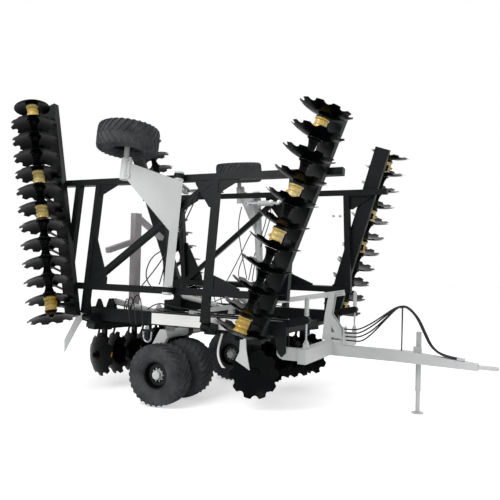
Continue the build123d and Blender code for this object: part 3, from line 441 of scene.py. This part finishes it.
def copies(name, shape, places, finish, body, replaces=()):
    # places are matrices: their origin, Z and X axes set each copy
    data = bpy.data.meshes.new(name)
    data.from_pydata([m.translation for m in places], [], [])
    for key, column in (("facing", 2), ("upper", 0)):
        store = data.attributes.new(key, "FLOAT_VECTOR", "POINT")
        for item, m in zip(store.data, places):
            item.vector = m.col[column].to_3d().normalized()
    piece = bpy.data.objects.new(name, data)
    scene.collection.objects.link(piece)
    tree = piece.modifiers.new("copies", "NODES")
    tree.node_group = copying
    for key, value in (("Shape", shape), ("Finish", finishes[finish])):
        tree[socketNamed(copying, key)] = value
    settle(piece)
    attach(piece, body)
    if replaces:
        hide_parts(*replaces)
    return piece


def pattern(shape, bevel=0.0):  # a shape kept only to be copied
    bmesh.ops.recalc_face_normals(shape.mesh, faces=shape.mesh.faces)
    data = bpy.data.meshes.new("pattern")
    shape.mesh.to_mesh(data)
    shape.mesh.free()
    piece = bpy.data.objects.new("pattern", data)
    scene.collection.objects.link(piece)
    if bevel:
        edge = piece.modifiers.new("soft edges", "BEVEL")
        edge.width, edge.segments, edge.limit_method = bevel, 1, "ANGLE"
        settle(piece)
    patterns.append(piece)
    return piece


patterns = []


# Where things are: metres from the transport axle, in the working position, then folded

machine = {"hingeY": 1.394, "hingeZ": 1.2, "fold": 97.6, "frameZ": 1.127}
home = Matrix.Translation((-middleX, 0, 0))


def flipped(side):
    return home @ Matrix.Scale(side, 4, (0, 1, 0))


def folded(side):
    hinge = Matrix.Translation((0, machine["hingeY"], machine["hingeZ"]))
    return flipped(side) @ hinge @ Matrix.Rotation(radians(machine["fold"]), 4, "X") @ hinge.inverted()


gangs = {  # first disc x and y, angle, discs, dish side, gaps with a bearing, beam reach before and after
    "front": (1.596, 1.316, 18.3, 11, 1, (0, 4, 6, 9), (-0.045, 0.165)),
    "rear": (-1.603, 1.391, -16.8, 13, -1, (0, 5, 7, 11), (0.02, 0.16)),
    "centre_front": (1.064, 0.193, 18.3, 4, 1, (0, 2), (0.04, 0.165)),
    "centre_rear": (-1.26, 0.265, -16.8, 4, -1, (0, 2), (0.165, 0.11)),
}
gangSpacing = 0.296
gangHeight = 0.549


def gangPlace(gang, side):  # X along the gang, Y to the rear, Z up, from its first disc
    x, y, angle = gangs[gang][:3]
    spot = Matrix.Translation((x, y, gangHeight)) @ Matrix.Rotation(radians(90 - angle), 4, "Z")
    return (flipped(side) if "centre" in gang else folded(side)) @ spot


along = Matrix.Rotation(radians(90), 4, "Y")  # turns a lathed shape's Z to lie along X


# Discs and spools

disc = {"radius": 0.355, "endRadius": 0.282, "dish": 0.095, "thickness": 0.008, "notches": 10, "notchHalf": 7.2,
        "notchDepth": 0.046, "steps": 9, "boss": 0.045}


def discShape(radius, notched):
    steps = disc["steps"]
    count = disc["notches"] * steps
    dish = disc["dish"] * radius / disc["radius"]

    def rim(i):  # the rim drops in a round-bottomed notch once in every step run
        turn = (i % steps) * 360 / count - 180 / disc["notches"]
        if not notched or abs(turn) > disc["notchHalf"]:
            return radius
        return radius - disc["notchDepth"] * (1 - (turn / disc["notchHalf"]) ** 4) ** 0.5

    rows = (disc["boss"], 0.1, 0.16, 0.215, 0.262, radius - 0.052 * radius / disc["radius"], None)
    points = []
    for face in (0, 1):
        for row in rows:
            for i in range(count):
                turn = 2 * pi * i / count
                edge = rim(i)
                r = edge if row is None else min(row, edge - 0.006)
                half = disc["thickness"] / 2 * (1 if row else 0.35)
                height = dish * (r / radius) ** 2 + (half if face else -half)
                points.append((r * cos(turn), r * sin(turn), height))
    layer = len(rows) * count
    faces = []
    for j in range(len(rows) - 1):
        for i in range(count):
            a, b = j * count + i, j * count + (i + 1) % count
            faces += [(a, b, b + count, a + count), (layer + a, layer + a + count, layer + b + count, layer + b)]
    for j in (0, len(rows) - 1):
        for i in range(count):
            a, b = j * count + i, j * count + (i + 1) % count
            faces.append((a, b, layer + b, layer + a))
    return Shape().add(points, faces)


spool = {"throat": 0.05, "flare": 0.088, "washer": 0.098}


def rotor(gang, name, side):
    x, y, angle, count, dishSide, gaps, reach = gangs[gang]
    body = f"{name}_{gang}_rotor"
    node = f"{name}_{gang}_gang"
    place = gangPlace(gang, side) @ along
    flip = Matrix.Identity(4) if dishSide > 0 else Matrix.Rotation(pi, 4, "X")
    last = count - 1 if gang == "rear" else count
    spin = random.Random(f"{gang} {name}")
    spots = []
    for i in range(count):
        turn = Matrix.Rotation(spin.uniform(0, 2 * pi), 4, "Z")
        spots.append(place @ Matrix.Translation((0, 0, i * gangSpacing)) @ flip @ turn)
    copies(f"{name}_{gang}_discs", notchedDisc, spots[:last], "blackDisc", body, replaces=(node,))
    if last < count:
        copies(f"{name}_{gang}_end_disc", plainDisc, spots[last:], "blackDisc", body)
    shaft = Shape()
    half = disc["thickness"] / 2
    t, f, w = spool["throat"], spool["flare"], spool["washer"]
    for i in range(count - 1):
        low, high = i * gangSpacing + half, (i + 1) * gangSpacing - half
        if i in gaps:  # straight sleeve where the bearing sits
            rows = [(0, low), (0.07, low), (0.07, low + 0.03), (t - 0.005, low + 0.045), (t - 0.005, high - 0.045),
                    (0.07, high - 0.03), (0.07, high), (0, high)]
        else:
            rows = [(0, low), (w, low), (w, low + 0.02), (f * 0.86, low + 0.032), (t * 1.12, low + 0.09),
                    (t, (low + high) / 2), (t * 1.12, high - 0.09), (f * 0.86, high - 0.032), (w, high - 0.02),
                    (w, high), (0, high)]
        shaft.lathe(rows, 20, place)
    ends = ((-0.07, -half), ((count - 1) * gangSpacing + half, (count - 1) * gangSpacing + 0.068))
    for low, high in ends:
        near, far = (high, low) if low < 0 else (low, high)
        step = -1 if low < 0 else 1
        shaft.lathe([(0, near), (0.075, near), (0.07, near + step * 0.022), (0, near + step * 0.022)], 20, place)
        shaft.lathe([(0, near), (0.042, near), (0.042, near + step * 0.05), (0.024, near + step * 0.05),
                     (0.024, far), (0, far)], 6, place)
    shaft.piece(f"{name}_{gang}_spools", "blackDisc", body, 0.002)


notchedDisc = pattern(discShape(disc["radius"], True))
plainDisc = pattern(discShape(disc["endRadius"], False))
for sideName, side in sides.items():
    for gang in gangs:
        rotor(gang, sideName, side)
print("discs ready")


# Bearings: a ribbed housing with its grease port, between two dark end rings

bearing = {"bore": 0.0465, "radius": 0.095, "half": 0.106, "ringRadius": 0.088, "ringHalf": 0.008}


def housing():
    r, b, h = bearing["radius"], bearing["bore"], bearing["half"]
    half = [(r * 0.7, h), (r * 0.92, h), (r, h * 0.95), (r, h * 0.8), (r * 0.93, h * 0.76), (r * 0.87, h * 0.7),
            (r * 0.84, h * 0.45), (r * 0.88, h * 0.38), (r * 0.88, h * 0.2), (r * 0.84, h * 0.14)]
    rows = [(b, h), *half, *[(x, -y) for x, y in reversed(half)], (b, -h)]
    shape = Shape().lathe(rows, 28)
    shape.rod((0, -r * 0.9, 0), (0, -r * 1.16, 0), 0.021, 12)
    shape.rod((0, -r * 1.1, 0), (0, -r * 1.28, 0), 0.011, 10)
    return shape.box((-r * 0.5, -r * 0.5, -h * 0.5), (-r * 0.99, r * 0.5, h * 0.5))


def endRings():
    r, h, half = bearing["ringRadius"], bearing["half"], bearing["ringHalf"]
    shape = Shape()
    for side in (-1, 1):
        middle = side * (h + half)
        low, high = middle - half, middle + half
        shape.lathe([(r * 0.79, low), (r, low), (r, high), (r * 0.79, high)], 24)
        for i in range(6):
            turn = Matrix.Rotation(i * pi / 3, 4, "Z")
            shape.rod((r * 0.89, 0, middle), (r * 0.89, 0, middle + side * 0.014), 0.007, 6, turn)
    return shape


housingShape, ringShape = pattern(housing(), bevel=0.003), pattern(endRings())


def bearingPlaces(gang, side):
    place = gangPlace(gang, side) @ along
    return [place @ Matrix.Translation((0, 0, (gap + 0.5) * gangSpacing)) for gap in gangs[gang][5]]


for sideName, side in sides.items():
    wing = bearingPlaces("front", side) + bearingPlaces("rear", side)
    copies(f"{sideName}_wing_housings", housingShape, wing, "golden", f"{sideName}_wing",
           replaces=(f"{sideName}_wing_bearings",))
    copies(f"{sideName}_wing_bearing_rings", ringShape, wing, "charcoal", f"{sideName}_wing")
centre = [place for side in sides.values() for gang in ("centre_front", "centre_rear")
          for place in bearingPlaces(gang, side)]
copies("centre_housings", housingShape, centre, "golden", "frame", replaces=("centre_bearings",))
copies("centre_bearing_rings", ringShape, centre, "charcoal", "frame")
print("bearings ready")


# Tyres: a turned carcass with slanting lugs that meet in the middle of the tread

tyre = {"radius": 0.455, "lugs": 30, "lugHeight": 0.014, "highestRoot": 0.439, "sunk": 0.006}
tyreRows = [(0.205, -0.121), (0.222, -0.15), (0.262, -0.184), (0.31, -0.1935), (0.355, -0.194), (0.385, -0.188),
            (0.419, -0.174), (0.4365, -0.125), (0.4435, -0.05)]


def lug(side):  # rows across the tread: (across, turn, top radius, half width in degrees)
    rows = [(0.004, 0.0, 0.455, 2.2), (0.07, 5.5, 0.455, 2.3), (0.13, 11.0, 0.4515, 2.4),
            (0.168, 14.5, 0.441, 2.5), (0.1885, 17.0, 0.41, 2.6), (0.194, 19.0, 0.37, 2.2)]
    points = []
    for y, turn, top, half in rows:
        low = min(top - tyre["lugHeight"], tyre["highestRoot"]) - tyre["sunk"]
        for angle, r in ((-half, low), (-half * 0.8, top), (half * 0.8, top), (half, low)):
            a = radians(turn + angle)
            points.append((r * cos(a), r * sin(a), side * y))
    faces = [(0, 1, 2, 3), tuple(len(points) - 4 + i for i in (3, 2, 1, 0))]
    for j in range(len(rows) - 1):
        for i in range(4):
            a, b = 4 * j + i, 4 * j + (i + 1) % 4
            faces.append((a, a + 4, b + 4, b))
    return Shape().add(points, faces)


lugShapes = {side: pattern(lug(side)) for side in (1, -1)}
wallRings = {"radii": ((0.30, 0.306), (0.345, 0.35)), "root": 0.19, "face": 0.1955}
wheelDrop = 0.627  # the wing wheel's axle lies this far under the bars' middle
twinWheels = (0.799, 1.461)


def tyrePiece(name, places, body, node):
    shape = Shape()
    for place in places:
        shape.lathe(tyreRows + [(r, -y) for r, y in reversed(tyreRows)], 64, place)
        for low, high in wallRings["radii"]:
            for side in (-1, 1):
                root, face = side * wallRings["root"], side * wallRings["face"]
                shape.lathe([(low, root), (low, face), (high, face), (high, root)], 48, place)
    shape.piece(name, "tyre", body, replaces=(node,))
    for side, offset in ((1, 0.0), (-1, 0.5)):
        spots = [place @ Matrix.Rotation(2 * pi * (i + offset) / tyre["lugs"], 4, "Z")
                 for place in places for i in range(tyre["lugs"])]
        copies(f"{name}_lugs_{'outer' if side > 0 else 'inner'}", lugShapes[side], spots, "tyre", body)


def wheelPlace(side, wing, y=0.0):  # Z along the axle, outwards
    if wing:
        base, spot = folded(side), (-0.479, 4.011, machine["frameZ"] - wheelDrop)
    else:
        base, spot = flipped(side), (0, y, tyre["radius"])
    return base @ Matrix.Translation(spot) @ Matrix.Rotation(radians(-90), 4, "X")


rimProfile = [(0, 0.018), (0.085, 0.018), (0.11, 0.03), (0.118, 0.052), (0.15, 0.048), (0.174, 0.03), (0.178, -0.09),
              (0.187, -0.104), (0.19, -0.117), (0.204, -0.117), (0.204, 0.117), (0.19, 0.117), (0.187, 0.104),
              (0.184, 0.05), (0.152, 0.06), (0.113, 0.062), (0.105, 0.04), (0.085, 0.03), (0, 0.03)]
hubProfile = [(0, 0.03), (0.078, 0.03), (0.078, 0.05), (0.066, 0.062), (0.066, 0.104), (0.058, 0.114), (0, 0.114)]
capProfile = [(0, 0.112), (0.03, 0.112), (0.03, 0.1155), (0, 0.1155)]
wheelNuts = {"count": 10, "circle": 0.093, "from": 0.03, "to": 0.058, "radius": 0.011}


def wheelPieces(name, places, body, node, axle):
    shape = Shape()
    for place in places:
        shape.lathe(rimProfile, 48, place)
    if axle:
        shape.rod(*axle, 0.04, 24)
    shape.piece(f"{name}_rims", "wheelBlack", body, replaces=(node,))
    hub, nuts = Shape(), Shape()
    for place in places:
        hub.lathe(hubProfile, 32, place)
        hub.lathe(capProfile, 16, place)
        for i in range(wheelNuts["count"]):
            turn = place @ Matrix.Rotation(2 * pi * i / wheelNuts["count"], 4, "Z")
            circle = wheelNuts["circle"]
            nuts.rod((circle, 0, wheelNuts["from"]), (circle, 0, wheelNuts["to"]), wheelNuts["radius"], 6, turn)
    hub.piece(f"{name}_hubs", "pale", body, 0.002)
    nuts.piece(f"{name}_nuts", "zinc", body)


for sideName, side in sides.items():
    innerY, outerY = twinWheels
    pair = [wheelPlace(side, False, innerY) @ Matrix.Rotation(pi, 4, "X"), wheelPlace(side, False, outerY)]
    tyrePiece(f"{sideName}_transport_tyre", pair, f"{sideName}_transport_wheels", f"{sideName}_transport_tyres")
    ends = [flipped(side) @ Vector((0, y, tyre["radius"])) for y in twinWheels]
    wheelPieces(f"{sideName}_transport", pair, f"{sideName}_transport_wheels", f"{sideName}_transport_rims", ends)
    lone = [wheelPlace(side, True)]
    tyrePiece(f"{sideName}_wing_tyre_tread", lone, f"{sideName}_wing_wheel", f"{sideName}_wing_tyre")
    wheelPieces(f"{sideName}_wing_wheel", lone, f"{sideName}_wing_wheel", f"{sideName}_wing_rim", None)
print("wheels ready")


# Levelling rods: threaded rod, ribbed spring sleeve, top nut and flat foot

levelling = {"x": 2.145, "y": 1.12, "foot": 1.019, "top": 1.68, "spring": (1.426, 1.64), "rod": 0.0145, "sleeve": 0.034,
             "collar": 0.012, "nut": (0.026, 0.022), "tip": (0.03, 0.018, 0.012), "footThick": 0.056}
footOutline = [(-0.03, -0.028), (0.03, -0.028), (0.03, 0.03), (0.014, 0.075), (-0.014, 0.075), (-0.03, 0.03)]


def ribbed(radius, low, high, count, deep):
    step = (high - low) / count
    rows = [(0, low)]
    for i in range(count):
        start = low + i * step
        rows += [(radius - deep, start), (radius - deep, start + step * 0.25), (radius, start + step * 0.45),
                 (radius, start + step * 0.8), (radius - deep, start + step * 0.99)]
    return rows + [(0, high)]


for sideName, side in sides.items():
    place = flipped(side) @ Matrix.Translation((levelling["x"], levelling["y"], 0))
    low, high = levelling["spring"]
    body = f"{sideName}_levelling_rod"
    top, collar, sleeveRadius = levelling["top"], levelling["collar"], levelling["sleeve"]
    nutRadius, nutHeight = levelling["nut"]
    tipHeight, tipFoot, tipHead = levelling["tip"]
    thread = ribbed(levelling["rod"], levelling["foot"] + 0.02, top - tipHeight, 40, 0.002)
    Shape().lathe(thread, 14, place).piece(f"{sideName}_threaded_rod", "zinc", body,
                                           replaces=(f"{sideName}_levelling_rod",))
    sleeve = Shape().lathe(ribbed(sleeveRadius, low + collar, high - collar, 11, 0.006), 24, place)
    for z in (low, high - collar):
        sleeve.lathe([(0, z), (sleeveRadius, z), (sleeveRadius, z + collar), (0, z + collar)], 24, place)
    sleeve.lathe([(0, high), (nutRadius, high), (nutRadius, high + nutHeight), (0, high + nutHeight)], 6, place)
    sleeve.lathe([(0, top - tipHeight), (tipFoot, top - tipHeight), (tipHead, top), (0, top)], 12, place)
    sleeve.piece(f"{sideName}_spring", "pale", body, 0.001)
    footPlace = place @ Matrix.Translation((0, 0, levelling["foot"]))
    foot = Shape().plate(footOutline, levelling["footThick"], "Y", 0, footPlace)
    foot.piece(f"{sideName}_rod_foot", "pale", body, 0.002)
print("levelling rods ready")


# Blank white plate on each outer rail

blankPlate = {"x": (-0.38, 1.3), "z": (1.142, 1.31), "y": 1.182, "thickness": 0.004}


def oblong(x, z):
    return [(x[0], z[0]), (x[1], z[0]), (x[1], z[1]), (x[0], z[1])]


for sideName, side in sides.items():
    plate = Shape().plate(oblong(blankPlate["x"], blankPlate["z"]), blankPlate["thickness"], "Y", blankPlate["y"],
                          flipped(side))
    plate.piece(f"{sideName}_blank_plate", "white", "frame", 0.001)


# Hoses that the frame and wings hold: (x, y, z) in the working layout

def hoseLine(name, points, radius, finish, body, place):
    piece = curve(name, [place @ Vector(point) for point in points], radius, 3, 8)
    bpy.context.view_layer.update()
    seen = piece.evaluated_get(bpy.context.evaluated_depsgraph_get())
    mesh = bpy.data.meshes.new_from_object(seen)
    bpy.data.objects.remove(piece)
    tube = bpy.data.objects.new(name, mesh)
    scene.collection.objects.link(tube)
    mesh.materials.clear()
    mesh.materials.append(finishes[finish])
    mesh.shade_smooth()
    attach(tube, body)
    return tube


barZ = machine["frameZ"]
lowZ, highZ = barZ - 0.066, barZ + 0.066
lineRadius = 0.009
wingHoses = [
    [(0.42, 3.33, lowZ), (0.36, 3.2, lowZ - 0.03), (0.3, 3.0, lowZ - 0.05), (0.14, 2.62, lowZ - 0.05),
     (0.03, 2.33, lowZ - 0.03), (-0.02, 2.1, lowZ), (-0.06, 1.95, lowZ)],
    [(0.46, 3.35, lowZ), (0.43, 3.16, lowZ - 0.04), (0.33, 2.9, lowZ - 0.06), (0.2, 2.6, lowZ - 0.05),
     (0.08, 2.3, lowZ - 0.04), (0.04, 2.08, lowZ), (0.02, 1.94, lowZ)],
    [(-0.1, 2.44, lowZ), (-0.16, 2.4, lowZ - 0.03), (-0.24, 2.28, lowZ - 0.06), (-0.3, 2.1, lowZ - 0.04),
     (-0.26, 1.95, lowZ), (-0.16, 1.88, lowZ)],
    [(-0.08, 3.36, highZ), (-0.12, 3.2, highZ + 0.04), (-0.14, 2.92, highZ + 0.06), (-0.08, 2.42, highZ + 0.05),
     (-0.05, 2.2, highZ + 0.02), (-0.03, 2.0, highZ)],
    [(0.1, 2.86, highZ), (0.05, 2.78, highZ + 0.03), (-0.06, 2.55, highZ + 0.06), (-0.2, 2.32, highZ + 0.05),
     (-0.38, 2.05, highZ + 0.02), (-0.47, 1.93, highZ)],
]
railHoses = [
    [(-0.98, 1.1, 1.33), (-0.9, 1.17, 1.5), (-0.8, 1.22, 1.5), (-0.77, 1.25, 1.33), (-0.75, 1.25, 1.18),
     (-0.74, 1.2, 1.1), (-0.74, 1.12, 1.125)],
    [(-0.94, 1.1, 1.33), (-0.84, 1.17, 1.54), (-0.72, 1.22, 1.52), (-0.66, 1.25, 1.35), (-0.63, 1.25, 1.2),
     (-0.64, 1.24, 1.13), (-0.66, 1.19, 1.11), (-0.68, 1.12, 1.125)],
    [(-0.86, 1.1, 1.33), (-0.72, 1.17, 1.58), (-0.58, 1.22, 1.56), (-0.52, 1.25, 1.34), (-0.5, 1.25, 1.2),
     (-0.51, 1.24, 1.13), (-0.53, 1.19, 1.11), (-0.55, 1.12, 1.125)],
    [(-0.6, 1.02, 1.33), (-0.35, 1.1, 1.48), (-0.05, 1.14, 1.42), (0.25, 1.12, 1.4), (0.6, 1.06, 1.36),
     (0.95, 0.95, 1.35)],
]
for sideName, side in sides.items():
    for number, points in enumerate(wingHoses):
        hoseLine(f"{sideName}_wing_line_{number}", points, lineRadius, "hose", f"{sideName}_wing", folded(side))
    for number, points in enumerate(railHoses):
        hoseLine(f"{sideName}_rail_line_{number}", points, lineRadius, "hose", "frame", flipped(side))


# On each outer rail: a bracket with two pins, a U bolt and its clamp, a tine and two blades

bracket = {"x": (-1.47, -1.25), "y": 1.12, "thickness": 0.02, "foot": ((-1.6, 1.07, 1.324), (-1.14, 1.17, 1.34)),
           "outline": ((-0.09, 1.32), (0.09, 1.32), (0.05, 1.42), (0.02, 1.47), (-0.03, 1.47))}
railPins = {"places": ((-0.89, 1.44), (-0.75, 1.37)), "y": (1.06, 1.15), "head": 0.024, "stem": 0.012, "middle": 1.1,
            "foot": 1.325}
uBolt = {"y": 1.19, "radius": 0.014, "points": ((-0.52, 1.04), (-0.52, 0.97), (-0.51, 0.89), (-0.445, 0.855),
                                                (-0.38, 0.89), (-0.37, 0.97), (-0.37, 1.04))}
railClamp = (((-0.56, 1.16, 1.02), (-0.33, 1.21, 1.05)), ((-0.475, 1.165, 0.885), (-0.415, 1.205, 1.03)))
tine = {"y": 1.13, "radius": 0.018, "points": ((0.86, 1.14), (0.81, 0.98), (0.775, 0.82), (0.8, 0.69), (0.86, 0.6),
                                              (0.9, 0.575)),
        "holders": (((0.81, 1.1, 1.09), (0.91, 1.16, 1.14)), ((0.865, 1.105, 0.56), (0.93, 1.155, 0.59)))}
frontBlade = {"y": 1.24, "outline": [(1.2, 1.06), (1.29, 1.06), (1.3, 0.9), (1.36, 0.62), (1.13, 0.74), (1.19, 0.86)]}
rearBlade = {"y": 1.12, "outline": [(-1.87, 1.25), (-1.8, 1.14), (-1.92, 0.98), (-2.09, 0.71), (-2.2, 0.53),
                                    (-2.21, 0.74), (-2.06, 0.98), (-1.93, 1.2)]}
bladeThick = 0.012

for sideName, side in sides.items():
    place = flipped(side)
    mount = Shape()
    for x in bracket["x"]:
        mount.plate([(x + reach, z) for reach, z in bracket["outline"]], bracket["thickness"], "Y", bracket["y"], place)
    mount.box(*bracket["foot"], place)
    mount.piece(f"{sideName}_rail_bracket", "charcoal", "frame", 0.002)
    pins = Shape()
    (near, far), middle = railPins["y"], railPins["middle"]
    for x, z in railPins["places"]:
        pins.rod((x, near, z), (x, far, z), railPins["head"], 12, place)
        pins.rod((x, middle, railPins["foot"]), (x, middle, z), railPins["stem"], 8, place)
    pins.piece(f"{sideName}_rail_pins", "zinc", "frame")
    hoseLine(f"{sideName}_u_bolt", [(x, uBolt["y"], z) for x, z in uBolt["points"]], uBolt["radius"], "zinc", "frame",
             place)
    clamp = Shape()
    for low, high in railClamp:
        clamp.box(low, high, place)
    clamp.piece(f"{sideName}_rail_clamp", "charcoal", "frame", 0.002)
    hoseLine(f"{sideName}_tine", [(x, tine["y"], z) for x, z in tine["points"]], tine["radius"], "white", "frame",
             place)
    holder = Shape()
    for low, high in tine["holders"]:
        holder.box(low, high, place)
    holder.piece(f"{sideName}_tine_holder", "charcoal", "frame", 0.002)
    for name, form in (("front", frontBlade), ("rear", rearBlade)):
        blade = Shape().plate(form["outline"], bladeThick, "Y", form["y"], place)
        blade.piece(f"{sideName}_{name}_side_blade", "pale", "frame", 0.001)


# The spindle clamp on each wing wheel arm, and pale nuts on the front gang's beam

spindle = {"x": -0.405, "y": (3.42, 3.74), "radius": 0.027, "lugs": (3.46, 3.68), "lugX": (-0.47, -0.37),
           "lugHalf": (0.018, 0.026), "ring": (0.034, 0.026), "bolt": (0.011, 0.05)}
beamNuts = {"places": ((1.665, 3.16), (1.785, 3.157), (1.758, 2.426)), "under": 0.09, "reach": (0.02, 0.03),
            "radius": 0.022}
wheelZ = barZ - wheelDrop
for sideName, side in sides.items():
    place = folded(side)
    x, (start, end) = spindle["x"], spindle["y"]
    arm, bolts = Shape().rod((x, start, wheelZ), (x, end, wheelZ), spindle["radius"], 16, place), Shape()
    halfY, halfZ = spindle["lugHalf"]
    ringRadius, ringHalf = spindle["ring"]
    boltRadius, boltHalf = spindle["bolt"]
    for y in spindle["lugs"]:
        near, far = spindle["lugX"]
        arm.box((near, y - halfY, wheelZ - halfZ), (far, y + halfY, wheelZ + halfZ), place)
        arm.rod((x, y - ringHalf, wheelZ), (x, y + ringHalf, wheelZ), ringRadius, 16, place)
        bolts.rod((x, y, wheelZ - boltHalf), (x, y, wheelZ + boltHalf), boltRadius, 6, place)
    arm.piece(f"{sideName}_spindle_clamp", "pale", f"{sideName}_wheel_arm", 0.002)
    bolts.piece(f"{sideName}_clamp_bolts", "zinc", f"{sideName}_wheel_arm")
    nuts = Shape()
    under, over = beamNuts["reach"]
    for x, y in beamNuts["places"]:
        z = barZ - beamNuts["under"]
        nuts.rod((x, y, z - under), (x, y, z + over), beamNuts["radius"], 6, place)
    nuts.piece(f"{sideName}_beam_nuts", "zinc", f"{sideName}_wing")
print("small pieces ready")


for piece in patterns:
    bpy.data.objects.remove(piece)
